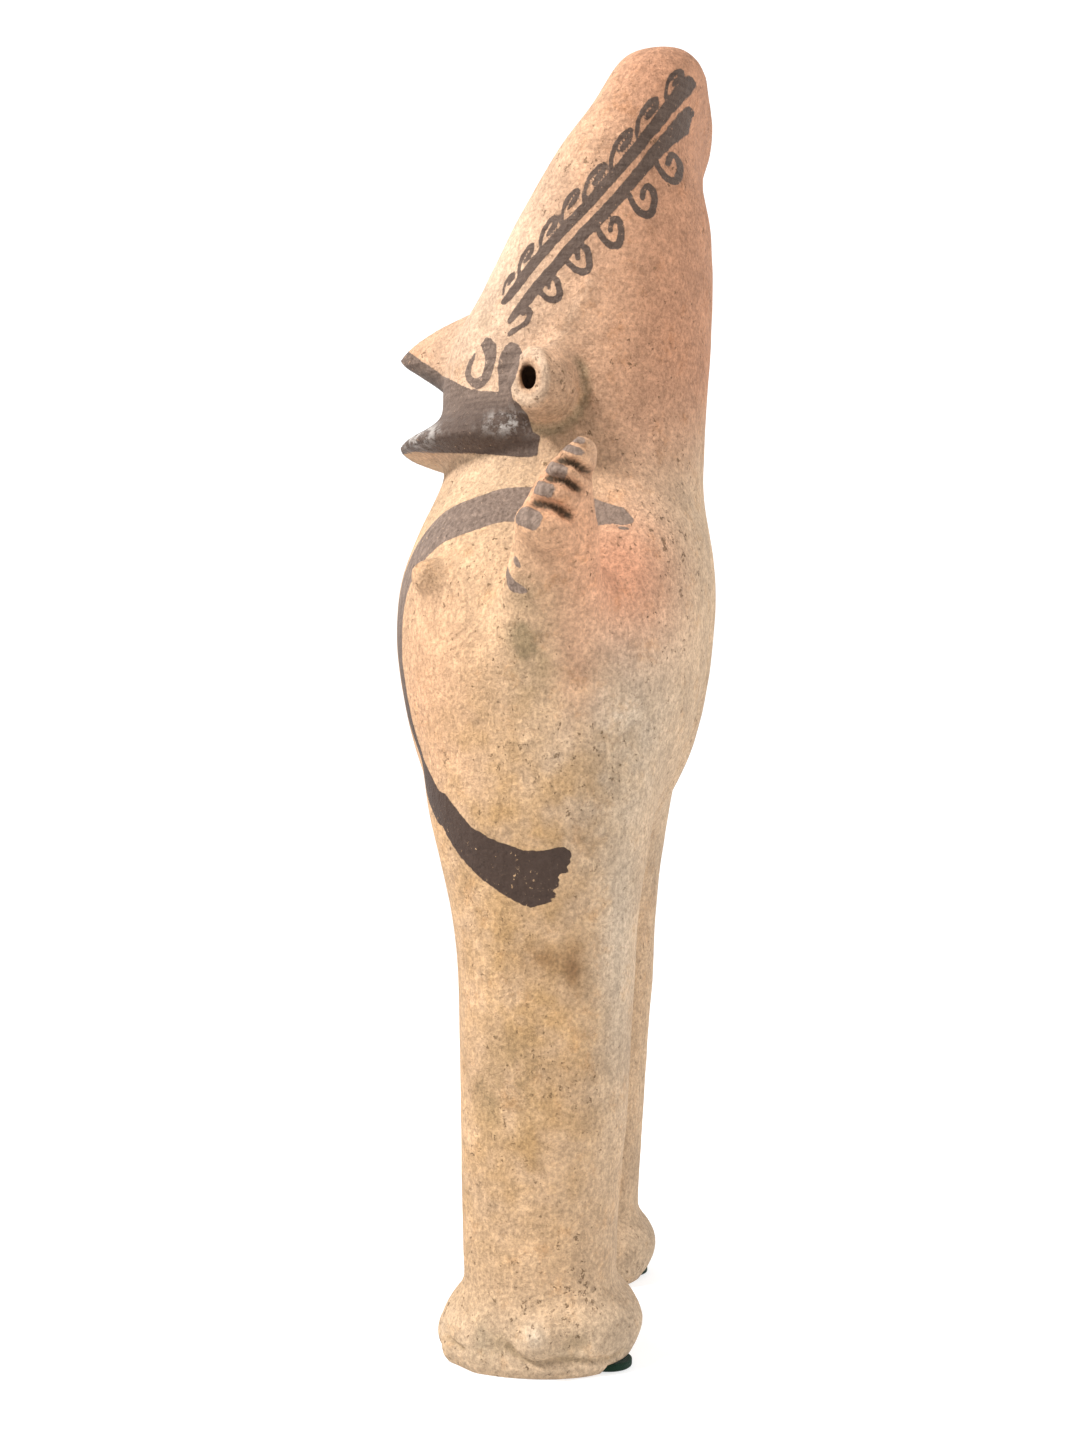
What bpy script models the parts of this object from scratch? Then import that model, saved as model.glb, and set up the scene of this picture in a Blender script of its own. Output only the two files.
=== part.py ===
"""Cuchimilco figure: a standing fired-clay figure with a tall sloping head, stub arms and thick legs.

The figure faces -Y, its left side is +X and +Z is up. The origin is on the ground, under the middle of its
box. Lengths are in metres. The figure is a free form, so its proportions are shares of its own height; the
two felt pads under its heels have sizes of their own.
"""

import math

import bmesh
import bpy
import numpy as np
from mathutils import Matrix, Vector

# Driving sizes
HEIGHT = 0.520
FELT_DIAMETER = 0.019
FELT_THICKNESS = 0.003
FELT_CLEARANCE = 0.0003
FELT_POCKET_MARGIN = 0.0015
EAR_HOLE_WIDTH = 0.0070
EAR_HOLE_HEIGHT = 0.0130
EAR_HOLE_DEPTH = 0.0110

# One step of the proportions: they are given in 520ths of the height
STEP = HEIGHT / 520

# How finely the clay is worked
RING_POINTS = 64
LEVEL_SPACING = 3.0 * STEP
FEWEST_LEVELS = 4
SMOOTHING_STRENGTH = 0.5
BODY_GRAIN = 3.5 * STEP
BODY_SMOOTHING = 22
DETAIL_GRAIN = 2.3 * STEP
DETAIL_SMOOTHING = 3
CLAY_TRIANGLES = 9000
FELT_SIDES = 24
BALL_TURNS = 24
BALL_RINGS = 16
NOSE_SLICES = 20
ARM_SLICES = 18
EAR_HOLE_SIDES = 20
CLAY_SHARP_ANGLE = math.radians(50)
FELT_SHARP_ANGLE = math.radians(40)

# Head and trunk, from the fork of the legs to the crown: level, half width, front, back, cleft down the back
TRUNK = (
    (186, 10, -8, 8, 0),
    (193, 28, -26, 25, 4),
    (204, 52, -42, 41, 12),
    (218, 80, -50, 49, 17),
    (237, 100, -56, 57, 15),
    (262, 105, -61, 63.5, 11),
    (284, 104, -63.5, 66.5, 8),
    (301, 100, -63.5, 67.5, 6),
    (317, 92, -60, 67, 3),
    (331, 81, -55, 64, 0),
    (342, 70, -50, 62, 0),
    (352, 63, -46, 61.5, 0),
    (365, 61, -47, 62, 0),
    (384, 64, -48, 63, 0),
    (404, 66, -44, 64.5, 0),
    (419, 67, -34, 65, 0),
    (433, 67, -27, 65.5, 0),
    (455, 68, -15, 65, 0),
    (480, 71, 2, 60.5, 0),
    (495, 72.5, 15, 62.5, 0),
    (505, 71.5, 21.5, 66, 0),
    (514, 67.5, 26.5, 65, 0),
    (519, 60, 30.5, 62.5, 0),
    (521.5, 47, 35.5, 57, 0),
)
TRUNK_SQUARENESS = 2.5
CROWN_SQUARENESS = 3.3
CLEFT_HALF_WIDTH = 13 * STEP
CROWN_ARCH = 7 * STEP
CROWN_ARCH_START = 470 * STEP
CROWN_ARCH_REACH = 70 * STEP

# Shelf of the mouth and jaw round the lower face: level, half width, front, back, cleft
JAW = (
    (353, 50, -43, 30, 0),
    (357, 58, -51, 36, 0),
    (360.5, 64, -62, 39, 0),
    (363.5, 66, -69, 40, 0),
    (367, 66, -61, 40, 0),
    (372, 65.5, -52, 38, 0),
    (379, 64, -46, 35, 0),
    (386, 60, -42, 30, 0),
)
JAW_SQUARENESS = 2.1

# One leg from the sole to inside the thigh: level, half width, front, back, cleft
LEG_OFFSET = 55 * STEP
LEG = (
    (4, 31, -29, 29, 0),
    (30, 31, -30.5, 30, 0),
    (60, 32, -31.5, 31.5, 0),
    (100, 33, -32.5, 34.5, 0),
    (140, 34, -33, 37, 0),
    (172, 37, -35.5, 38.5, 0),
    (195, 42, -40, 42, 0),
    (220, 47, -46, 46, 0),
    (240, 47, -47, 49, 0),
    (262, 42, -42, 46, 0),
    (280, 30, -28, 32, 0),
)
LEG_SQUARENESS = 2.2

# One foot from below the ground, where it is cut flat, to the ankle
FOOT = (
    (-6, 28, -32, 29, 0),
    (0, 32, -36, 34, 0),
    (6, 34, -38.5, 38, 0),
    (14, 34.5, -39, 40.5, 0),
    (21, 33.5, -36, 38, 0),
    (27, 31, -31, 33, 0),
    (32, 29, -27, 28, 0),
)
FOOT_SQUARENESS = 2.3
RIGHT_FOOT_SHIFT = -3 * STEP
TOE_COUNT = 5
TOE_RADIUS = 6.2 * STEP
TOE_LEVEL = 7 * STEP
TOE_ARC_CENTRE = -8 * STEP
TOE_ARC_HALF_WIDTH = 28 * STEP
TOE_ARC_REACH = 27 * STEP
TOE_FAN = math.radians(64)
TOE_DEPTH_SHARE = 1.15
TOE_HEIGHT_SHARE = 1.4
ANKLE_KNOB = (87 * STEP, 3.5 * STEP, 15.5 * STEP)
ANKLE_KNOB_SIZE = (8 * STEP, 7.5 * STEP, 7 * STEP)

# Beak of a nose, as slices from inside the face to the tip: forward, underside, bridge, half width
NOSE = (
    (12, 372, 430, 46),
    (24, 376, 429, 38),
    (36, 382, 424, 27),
    (46, 388, 420, 18),
    (55, 394, 415.5, 11.5),
    (62, 398.5, 411, 7.5),
    (67, 401.5, 406.5, 4.5),
    (69, 403, 405, 2),
)
NOSE_SQUARENESS = 2.0
NOSE_PINCH = 0.35

# Ear lugs, and their holes near the front of them
EAR_PLACE = (64 * STEP, 2.6 * STEP, 380.5 * STEP)
EAR_SIZE = (18 * STEP, 13 * STEP, 14 * STEP)
EAR_HOLE_PLACE = (-2.2 * STEP, 382.3 * STEP)
EAR_LEAN = math.radians(12)
EAR_FACE = 78 * STEP

# Nipple bump on the chest
NIPPLE_PLACE = (84 * STEP, -40 * STEP, 305 * STEP)
NIPPLE_RADIUS = 7.5 * STEP

# One arm from inside the shoulder to the palm: outward, middle along Y, level, half depth, half height
ARM = (
    (70, 5, 256, 22, 30),
    (88, 7, 263, 22, 32),
    (100, 9, 280, 19, 33),
    (110, 11, 307, 17, 31),
    (119, 12, 327, 14, 25),
)
ARM_LEAN = math.radians(23)
ARM_SQUARENESS = 2.2
FINGER_MIDDLE = (119 * STEP, 12 * STEP, 331 * STEP)
FINGER_REACH = 12 * STEP

# Finger ends from the top of the row down: place along the row and behind it, half depth, half height
FINGERS = (
    (21, 4.2, 5, 3.4),
    (16.3, 3.8, 7, 3.6),
    (9.6, 3.4, 9, 4.6),
    (0.9, 3, 10, 5.6),
    (-11.5, 2.5, 12.5, 8.2),
)

# Colours from the object: pale slip over buff clay, and dark green felt
CLAY_COLOUR = (0.74, 0.50, 0.31)
CLAY_ROUGHNESS = 0.82
FELT_COLOUR = (0.010, 0.045, 0.025)
FELT_ROUGHNESS = 0.95

# Where the heels end behind, how far outward of the legs the pads lie, and the blocks that cut the clay
HEEL_END = 37 * STEP
LEFT_PAD_OUTWARD = 12 * STEP
RIGHT_PAD_OUTWARD = 2 * STEP
GROUND_BLOCK = HEIGHT / 2
HEEL_SLOT_REACH = HEIGHT / 8


def clear_scene():
    """Removes every object that the file opened with."""
    for thing in list(bpy.data.objects):
        bpy.data.objects.remove(thing, do_unlink=True)


def finish(name, colour, roughness):
    """A plain opaque material."""
    material = bpy.data.materials.new(name)
    material.use_nodes = True
    shader = material.node_tree.nodes["Principled BSDF"]
    shader.inputs["Base Color"].default_value = (*colour, 1.0)
    shader.inputs["Roughness"].default_value = roughness
    shader.inputs["Metallic"].default_value = 0.0
    return material


def eased(table, places):
    """Reads a table at new places along its first column, on a cubic that never overshoots its rows."""
    rows = np.asarray(table, float)
    at, value = rows[:, 0], rows[:, 1:]
    gap = np.diff(at)[:, None]
    slope = np.diff(value, axis=0) / gap
    same_way = slope[:-1] * slope[1:] > 0
    total = np.where(same_way, slope[:-1] + slope[1:], 1.0)
    bend = np.zeros_like(value)
    bend[0], bend[-1] = slope[0], slope[-1]
    bend[1:-1] = np.where(same_way, 2 * slope[:-1] * slope[1:] / total, 0.0)
    row = np.clip(np.searchsorted(at, places) - 1, 0, len(at) - 2)
    t = ((places - at[row]) / gap[row, 0])[:, None]
    start, end, rise = value[row], value[row + 1], gap[row]
    return (
        start * (1 + 2 * t) * (1 - t) ** 2
        + end * t**2 * (3 - 2 * t)
        + rise * t * (1 - t) * (bend[row] * (1 - t) - bend[row + 1] * t)
    )


def unit_ring(squareness):
    """Points of a superellipse of half width 1; a column of squarenesses gives a ring for each."""
    turn = np.linspace(0, 2 * math.pi, RING_POINTS, endpoint=False)
    across, along = np.cos(turn), np.sin(turn)
    power = 2 / squareness
    return np.sign(across) * np.abs(across) ** power, np.sign(along) * np.abs(along) ** power


def upright_rings(table, squareness, offset=0.0, crown_squareness=None):
    """Level rings of a form that stands up, one above another, from a table in steps."""
    low, high = table[0][0] * STEP, table[-1][0] * STEP
    levels = np.linspace(low, high, max(FEWEST_LEVELS, round((high - low) / LEVEL_SPACING)))
    half_width, front, back, cleft = (eased(table, levels / STEP) * STEP).T
    crown = np.clip((levels - CROWN_ARCH_START) / (HEIGHT - CROWN_ARCH_START), 0, None)
    growth = 0.0 if crown_squareness is None else crown_squareness - squareness
    across, along = unit_ring(squareness + growth * np.minimum(crown, 1)[:, None])
    x = half_width[:, None] * across
    y = ((front + back)[:, None] + (back - front)[:, None] * along) / 2
    behind = np.clip(along, 0, None)
    y = y - cleft[:, None] * behind * np.exp(-((x / CLEFT_HALF_WIDTH) ** 2))
    z = levels[:, None] - CROWN_ARCH * crown[:, None] * (x / CROWN_ARCH_REACH) ** 2
    return np.stack([x + offset, y, z], axis=-1)


def nose_rings():
    """Upright rings of the nose, from inside the face to its tip."""
    table = np.asarray(NOSE, float)
    forward = np.linspace(table[0, 0], table[-1, 0], NOSE_SLICES)
    low, high, half_width = (eased(NOSE, forward) * STEP).T
    across, up = unit_ring(NOSE_SQUARENESS)
    # The bridge is narrower than the underside, as on a beak
    taper = 1 - NOSE_PINCH * up
    x = half_width[:, None] * across * taper
    z = ((low + high)[:, None] + (high - low)[:, None] * up) / 2
    y = np.broadcast_to(-forward[:, None] * STEP, x.shape)
    return np.stack([x, y, z], axis=-1)


def arm_rings(side):
    """Leaning rings of one arm, from inside the shoulder out to the palm."""
    table = np.asarray(ARM, float)
    outward = np.linspace(table[0, 0], table[-1, 0], ARM_SLICES)
    middle, level, half_depth, half_height = (eased(ARM, outward) * STEP).T
    across, up = unit_ring(ARM_SQUARENESS)
    lean = half_height[:, None] * up
    y = middle[:, None] + half_depth[:, None] * across * math.cos(ARM_LEAN) + lean * math.sin(ARM_LEAN)
    z = level[:, None] - half_depth[:, None] * across * math.sin(ARM_LEAN) + lean * math.cos(ARM_LEAN)
    x = np.broadcast_to(side * outward[:, None] * STEP, y.shape)
    return np.stack([x, y, z], axis=-1)


def add_loft(bm, rings):
    """Skins a stack of rings and closes both ends."""
    loops = [[bm.verts.new(point) for point in ring] for ring in rings]
    for lower, upper in zip(loops, loops[1:]):
        for i in range(RING_POINTS):
            after = (i + 1) % RING_POINTS
            bm.faces.new((lower[i], lower[after], upper[after], upper[i]))
    bm.faces.new(list(reversed(loops[0])))
    bm.faces.new(loops[-1])


def add_ellipsoid(bm, centre, size, turn=None):
    """Adds a round lump with the given half sizes, turned by a matrix."""
    place = Matrix.Translation(Vector(centre)) @ (turn or Matrix.Identity(4))
    shape = place @ Matrix.Diagonal((*size, 1.0))
    bmesh.ops.create_uvsphere(bm, u_segments=BALL_TURNS, v_segments=BALL_RINGS, radius=1.0, matrix=shape)


def foot_shift(side):
    """How far back a foot stands; the right one was set a little forward."""
    return 0.0 if side > 0 else RIGHT_FOOT_SHIFT


def add_toes(bm, side):
    """Adds a fan of toes round the front of one foot."""
    size = (TOE_RADIUS, TOE_RADIUS * TOE_DEPTH_SHARE, TOE_RADIUS * TOE_HEIGHT_SHARE)
    for i in range(TOE_COUNT):
        swing = TOE_FAN * (2 * i / (TOE_COUNT - 1) - 1)
        x = side * LEG_OFFSET + TOE_ARC_HALF_WIDTH * math.sin(swing)
        y = TOE_ARC_CENTRE - TOE_ARC_REACH * math.cos(swing) + foot_shift(side)
        add_ellipsoid(bm, (x, y, TOE_LEVEL), size)


def add_fingers(bm, side):
    """Adds the row of finger tips across the end of one arm."""
    lean = Matrix.Rotation(-ARM_LEAN, 4, "X")
    place = Matrix.Translation(mirrored(FINGER_MIDDLE, side)) @ lean
    for along, behind, half_depth, half_height in FINGERS:
        size = (FINGER_REACH, half_depth * STEP, half_height * STEP)
        add_ellipsoid(bm, place @ Vector((0, behind * STEP, along * STEP)), size, lean)


def mirrored(place, side):
    """A place on the chosen side of the figure."""
    return (side * place[0], place[1], place[2])


def new_object(name, bm, material):
    """Turns a bmesh into an object with one material."""
    bmesh.ops.recalc_face_normals(bm, faces=bm.faces)
    mesh = bpy.data.meshes.new(name)
    bm.to_mesh(mesh)
    bm.free()
    mesh.materials.append(material)
    thing = bpy.data.objects.new(name, mesh)
    bpy.context.scene.collection.objects.link(thing)
    return thing


def evaluated_mesh(thing):
    """The mesh of an object after its modifiers."""
    bpy.context.view_layer.update()
    graph = bpy.context.evaluated_depsgraph_get()
    return bpy.data.meshes.new_from_object(thing.evaluated_get(graph))


def add_body(bm):
    """The large lumps of clay: head and trunk in one, legs and the roots of the arms."""
    add_loft(bm, upright_rings(TRUNK, TRUNK_SQUARENESS, crown_squareness=CROWN_SQUARENESS))
    for side in (1, -1):
        add_loft(bm, upright_rings(LEG, LEG_SQUARENESS, side * LEG_OFFSET))
        add_loft(bm, arm_rings(side))


def add_details(bm):
    """The lumps that are pressed onto the body: nose, jaw, feet, toes, fingers, ears and small knobs."""
    add_loft(bm, upright_rings(JAW, JAW_SQUARENESS))
    add_loft(bm, nose_rings())
    for side in (1, -1):
        foot = upright_rings(FOOT, FOOT_SQUARENESS, side * LEG_OFFSET)
        add_loft(bm, foot + np.array((0, foot_shift(side), 0)))
        add_toes(bm, side)
        add_fingers(bm, side)
        add_ellipsoid(bm, mirrored(EAR_PLACE, side), EAR_SIZE, Matrix.Rotation(EAR_LEAN, 4, "X"))
        add_ellipsoid(bm, mirrored(ANKLE_KNOB, side), ANKLE_KNOB_SIZE)
        add_ellipsoid(bm, mirrored(NIPPLE_PLACE, side), (NIPPLE_RADIUS,) * 3)


def press_together(figure, grain, smoothing):
    """Runs the lumps of an object together and smooths the joins, as a thumb would."""
    remesh = figure.modifiers.new("press_together", "REMESH")
    remesh.mode = "VOXEL"
    remesh.voxel_size = grain
    smooth = figure.modifiers.new("smooth_joins", "SMOOTH")
    smooth.factor = SMOOTHING_STRENGTH
    smooth.iterations = smoothing
    figure.data = evaluated_mesh(figure)
    figure.modifiers.clear()


def coarsen(figure, triangles):
    """Leaves the clay with about the given number of triangles, fewest where it is flattest."""
    figure.data.calc_loop_triangles()
    decimate = figure.modifiers.new("coarser_faces", "DECIMATE")
    decimate.ratio = min(1.0, triangles / len(figure.data.loop_triangles))
    decimate.use_collapse_triangulate = True
    figure.data = evaluated_mesh(figure)
    figure.modifiers.clear()
    figure.data.shade_smooth()
    figure.data.set_sharp_from_angle(angle=CLAY_SHARP_ANGLE)


def new_cutter(name, bm):
    """A hidden shape that is taken away from the clay."""
    bmesh.ops.recalc_face_normals(bm, faces=bm.faces)
    mesh = bpy.data.meshes.new(name)
    bm.to_mesh(mesh)
    bm.free()
    cutter = bpy.data.objects.new(name, mesh)
    bpy.context.scene.collection.objects.link(cutter)
    cutter.hide_render = True
    cutter.display_type = "WIRE"
    return cutter


def take_away(figure, cutter):
    """Takes a cutter's shape out of the clay."""
    cut = figure.modifiers.new(cutter.name, "BOOLEAN")
    cut.operation = "DIFFERENCE"
    cut.solver = "EXACT"
    cut.object = cutter


def ground_cutter():
    """A block below the ground, which leaves the soles flat."""
    bm = bmesh.new()
    size = Matrix.Diagonal((2 * GROUND_BLOCK, GROUND_BLOCK, GROUND_BLOCK, 1.0))
    shape = Matrix.Translation((0, 0, -GROUND_BLOCK / 2)) @ size
    bmesh.ops.create_cube(bm, size=1.0, matrix=shape)
    return new_cutter("ground_cut", bm)


def felt_place(side):
    """Middle of a felt pad on the ground: its rim ends a little inside the heel."""
    outward = LEG_OFFSET + (LEFT_PAD_OUTWARD if side > 0 else RIGHT_PAD_OUTWARD)
    return Vector((side * outward, HEEL_END + foot_shift(side) - FELT_DIAMETER / 2, 0))


def heel_cutter(side):
    """A slot in the underside of one heel, open behind, that the felt pad fills."""
    bm = bmesh.new()
    place = felt_place(side)
    half = FELT_DIAMETER / 2 + FELT_POCKET_MARGIN
    deep = FELT_THICKNESS + FELT_CLEARANCE
    shape = Matrix.Translation((place.x, place.y - half + HEEL_SLOT_REACH / 2, 0))
    shape = shape @ Matrix.Diagonal((2 * half, HEEL_SLOT_REACH, 2 * deep, 1.0))
    bmesh.ops.create_cube(bm, size=1.0, matrix=shape)
    return new_cutter(f"heel_cut_{'left' if side > 0 else 'right'}", bm)


def ear_cutter(side):
    """An oval peg, half in and half out of one ear, that makes its hole."""
    bm = bmesh.new()
    lean = Matrix.Rotation(EAR_LEAN, 4, "X")
    lie = Matrix.Rotation(math.pi / 2, 4, "Y")
    middle = (side * EAR_FACE, *EAR_HOLE_PLACE)
    oval = Matrix.Diagonal((1.0, EAR_HOLE_WIDTH / EAR_HOLE_HEIGHT, 1.0, 1.0))
    shape = Matrix.Translation(middle) @ lean @ oval @ lie
    bmesh.ops.create_cone(
        bm,
        cap_ends=True,
        segments=EAR_HOLE_SIDES,
        radius1=EAR_HOLE_HEIGHT / 2,
        radius2=EAR_HOLE_HEIGHT / 2,
        depth=2 * EAR_HOLE_DEPTH,
        matrix=shape,
    )
    return new_cutter(f"ear_cut_{'left' if side > 0 else 'right'}", bm)


def build_figure(clay):
    """The whole clay figure: one solid."""
    body = bmesh.new()
    add_body(body)
    figure = new_object("cuchimilco_figure", body, clay)
    press_together(figure, BODY_GRAIN, BODY_SMOOTHING)
    detailed = bmesh.new()
    detailed.from_mesh(figure.data)
    add_details(detailed)
    detailed.to_mesh(figure.data)
    detailed.free()
    press_together(figure, DETAIL_GRAIN, DETAIL_SMOOTHING)
    coarsen(figure, CLAY_TRIANGLES)
    take_away(figure, ground_cutter())
    for side in (1, -1):
        take_away(figure, heel_cutter(side))
        take_away(figure, ear_cutter(side))
    return figure


def build_felt(name, side, felt):
    """One round felt pad, lying on the ground under a heel."""
    bm = bmesh.new()
    bmesh.ops.create_cone(
        bm,
        cap_ends=True,
        segments=FELT_SIDES,
        radius1=FELT_DIAMETER / 2,
        radius2=FELT_DIAMETER / 2,
        depth=FELT_THICKNESS,
        matrix=Matrix.Translation((0, 0, FELT_THICKNESS / 2)),
    )
    pad = new_object(name, bm, felt)
    pad.location = felt_place(side)
    pad.data.shade_smooth()
    pad.data.set_sharp_from_angle(angle=FELT_SHARP_ANGLE)
    return pad


def main():
    """Builds the figure and its two pads under one empty on the ground."""
    clear_scene()
    clay = finish("fired_clay", CLAY_COLOUR, CLAY_ROUGHNESS)
    felt = finish("green_felt", FELT_COLOUR, FELT_ROUGHNESS)
    base = bpy.data.objects.new("figure_base", None)
    bpy.context.scene.collection.objects.link(base)
    pieces = [
        build_figure(clay),
        build_felt("left_heel_felt", 1, felt),
        build_felt("right_heel_felt", -1, felt),
    ]
    for piece in pieces:
        piece.parent = base


main()
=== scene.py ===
"""Looks of the cuchimilco figure: worked clay, slip, brushed paint, wear and the felt pads.

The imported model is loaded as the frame. The figure faces -Y, its left side is +X and +Z is up. The clay is
one piece: lumps are laid over each other as surfaces worked out with numpy, run together, and then worked
finer with relief and paint that are functions of a place on the figure. Tables give places in steps, which
are 520ths of the height, and flat outlines give them as Y and Z.
"""

import logging
import math
from dataclasses import dataclass, field
from enum import Enum

import bmesh
import bpy
import numpy as np
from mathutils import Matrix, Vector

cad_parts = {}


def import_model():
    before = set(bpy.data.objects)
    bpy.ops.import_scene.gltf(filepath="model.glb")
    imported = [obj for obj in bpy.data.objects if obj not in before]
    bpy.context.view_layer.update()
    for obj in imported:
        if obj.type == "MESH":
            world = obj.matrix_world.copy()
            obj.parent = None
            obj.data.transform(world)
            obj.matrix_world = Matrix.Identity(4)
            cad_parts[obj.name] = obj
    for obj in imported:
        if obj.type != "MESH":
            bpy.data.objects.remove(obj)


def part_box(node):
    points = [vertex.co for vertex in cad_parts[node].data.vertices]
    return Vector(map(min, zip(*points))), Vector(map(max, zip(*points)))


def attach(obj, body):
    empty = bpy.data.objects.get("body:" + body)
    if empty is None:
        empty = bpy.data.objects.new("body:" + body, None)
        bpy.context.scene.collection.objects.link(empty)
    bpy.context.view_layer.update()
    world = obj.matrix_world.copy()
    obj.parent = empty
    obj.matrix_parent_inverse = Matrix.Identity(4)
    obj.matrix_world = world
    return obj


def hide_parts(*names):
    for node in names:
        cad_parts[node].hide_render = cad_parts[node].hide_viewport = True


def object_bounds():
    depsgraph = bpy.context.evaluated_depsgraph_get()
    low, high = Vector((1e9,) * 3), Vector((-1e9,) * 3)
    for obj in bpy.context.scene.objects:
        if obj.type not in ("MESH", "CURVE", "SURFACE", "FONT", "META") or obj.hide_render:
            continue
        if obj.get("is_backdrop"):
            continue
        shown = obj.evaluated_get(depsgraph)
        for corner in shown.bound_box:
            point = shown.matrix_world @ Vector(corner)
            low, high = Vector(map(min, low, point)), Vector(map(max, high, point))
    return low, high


Array = np.ndarray
Rows = tuple[tuple[float, ...], ...]
Colour = tuple[float, float, float]
Place = tuple[float, float, float]
Socket = bpy.types.NodeSocket

LOG = logging.getLogger("cuchimilco")
STEPS_TALL = 520.0
SIDES = {"left": 1, "right": -1}
FAR = 9.0


def eased(rows: Rows, places: Array) -> Array:
    """Reads a table at new places along its first column, on a cubic that never overshoots its rows.

    The slope at a row is the harmonic mean of the slopes on both sides, or nothing where the table turns.

    Args:
        rows: Table whose first column rises.
        places: Places along the first column.

    Returns:
        The other columns at those places, one row for each place.
    """
    table = np.asarray(rows, float)
    at, value = table[:, 0], table[:, 1:]
    gap = np.diff(at)[:, None]
    slope = np.diff(value, axis=0) / gap
    same_way = slope[:-1] * slope[1:] > 0
    total = np.where(same_way, slope[:-1] + slope[1:], 1.0)
    bend = np.zeros_like(value)
    bend[0], bend[-1] = slope[0], slope[-1]
    bend[1:-1] = np.where(same_way, 2 * slope[:-1] * slope[1:] / total, 0.0)
    row = np.clip(np.searchsorted(at, places) - 1, 0, len(at) - 2)
    t = ((places - at[row]) / gap[row, 0])[:, None]
    start, end, rise = value[row], value[row + 1], gap[row]
    return (
        start * (1 + 2 * t) * (1 - t) ** 2
        + end * t**2 * (3 - 2 * t)
        + rise * t * (1 - t) * (bend[row] * (1 - t) - bend[row + 1] * t)
    )


def unit_ring(squareness: float | Array, count: int = 96) -> tuple[Array, Array]:
    """Points of a superellipse of half width 1.

    Args:
        squareness: 2 for a circle, more for a squarer ring; a column of them gives a ring for each.
        count: Points round the ring.

    Returns:
        Places across and along, from -1 to 1.
    """
    turn = np.linspace(0, 2 * math.pi, count, endpoint=False)
    across, along = np.cos(turn), np.sin(turn)
    power = 2 / squareness
    return np.sign(across) * np.abs(across) ** power, np.sign(along) * np.abs(along) ** power


def ramp(value: Array, low: float, high: float) -> Array:
    """Rises smoothly from 0 at low to 1 at high, as 3t^2 - 2t^3; it falls where low is the higher."""
    t = np.clip((value - low) / (high - low), 0, 1)
    return t * t * (3 - 2 * t)


def bell(distance: Array, width: float) -> Array:
    """1 where the distance is nothing, falling off as exp(-(distance / width)^2)."""
    return np.exp(-((distance / width) ** 2))


def folded(places: Array) -> Array:
    """Places with the right side laid over the left, so that one table serves both."""
    return np.column_stack([np.abs(places[:, 0]), places[:, 1:]])


def mirrored(place: Place, side: int) -> Place:
    """A place on the left side, or its like on the right side where the side is -1."""
    return side * place[0], place[1], place[2]


def turned(across: Array, up: Array, angle: float) -> tuple[Array, Array]:
    """Two coordinates turned by an angle in radians, from the first towards the second."""
    cosine, sine = math.cos(angle), math.sin(angle)
    return across * cosine - up * sine, across * sine + up * cosine


def curve_through(rows: Rows, spans: int = 6) -> Array:
    """A smooth line through points, every column on the same cubic (Catmull and Rom's).

    Args:
        rows: The points, with as many columns as wanted.
        spans: New points for each given one.

    Returns:
        The points of the finer line.
    """
    table = np.asarray(rows, float)
    before = np.vstack([2 * table[0] - table[1], table[:-2]])
    after = np.vstack([table[2:], 2 * table[-1] - table[-2]])
    t = np.linspace(0, 1, spans, endpoint=False)[None, :, None]
    a, b, c, d = (part[:, None, :] for part in (before, table[:-1], table[1:], after))
    line = 0.5 * (2 * b + (c - a) * t + (2 * a - 5 * b + 4 * c - d) * t**2 + (3 * b - a - 3 * c + d) * t**3)
    return np.vstack([line.reshape(-1, table.shape[1]), table[-1:]])


def stroke_edge(places: Array, line: Array) -> Array:
    """Signed distance from the edge of a brush stroke, negative inside it.

    It is the distance to the nearest piece of the line, less the half width there.

    Args:
        places: Points, one row each.
        line: Points of the stroke's middle, with its half width as the last column.

    Returns:
        The distance for each place.
    """
    nearest = np.full(len(places), np.inf)
    for start, end in zip(line[:-1], line[1:]):
        along = end[:-1] - start[:-1]
        share = np.clip((places - start[:-1]) @ along / max(along @ along, 1e-9), 0, 1)
        gap = np.linalg.norm(places - start[:-1] - share[:, None] * along, axis=1)
        nearest = np.minimum(nearest, gap - start[-1] - share * (end[-1] - start[-1]))
    return nearest


def patch_edge(places: Array, outline: Array) -> Array:
    """Signed distance from the outline of a flat patch, negative inside it.

    Inside and outside are told apart by how often the outline is crossed on the way out.

    Args:
        places: Flat points, one row each.
        outline: Corners of the patch in order.

    Returns:
        The distance for each place.
    """
    nearest = np.full(len(places), np.inf)
    inside = np.zeros(len(places), bool)
    for start, end in zip(outline, np.roll(outline, -1, axis=0)):
        along = end - start
        share = np.clip((places - start) @ along / max(along @ along, 1e-9), 0, 1)
        nearest = np.minimum(nearest, np.linalg.norm(places - start - share[:, None] * along, axis=1))
        crossed = (start[1] > places[:, 1]) != (end[1] > places[:, 1])
        rise = end[1] - start[1] if end[1] != start[1] else 1.0
        crossing = start[0] + (places[:, 1] - start[1]) * (end[0] - start[0]) / rise
        inside ^= crossed & (places[:, 0] < crossing)
    return np.where(inside, -nearest, nearest)


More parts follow.
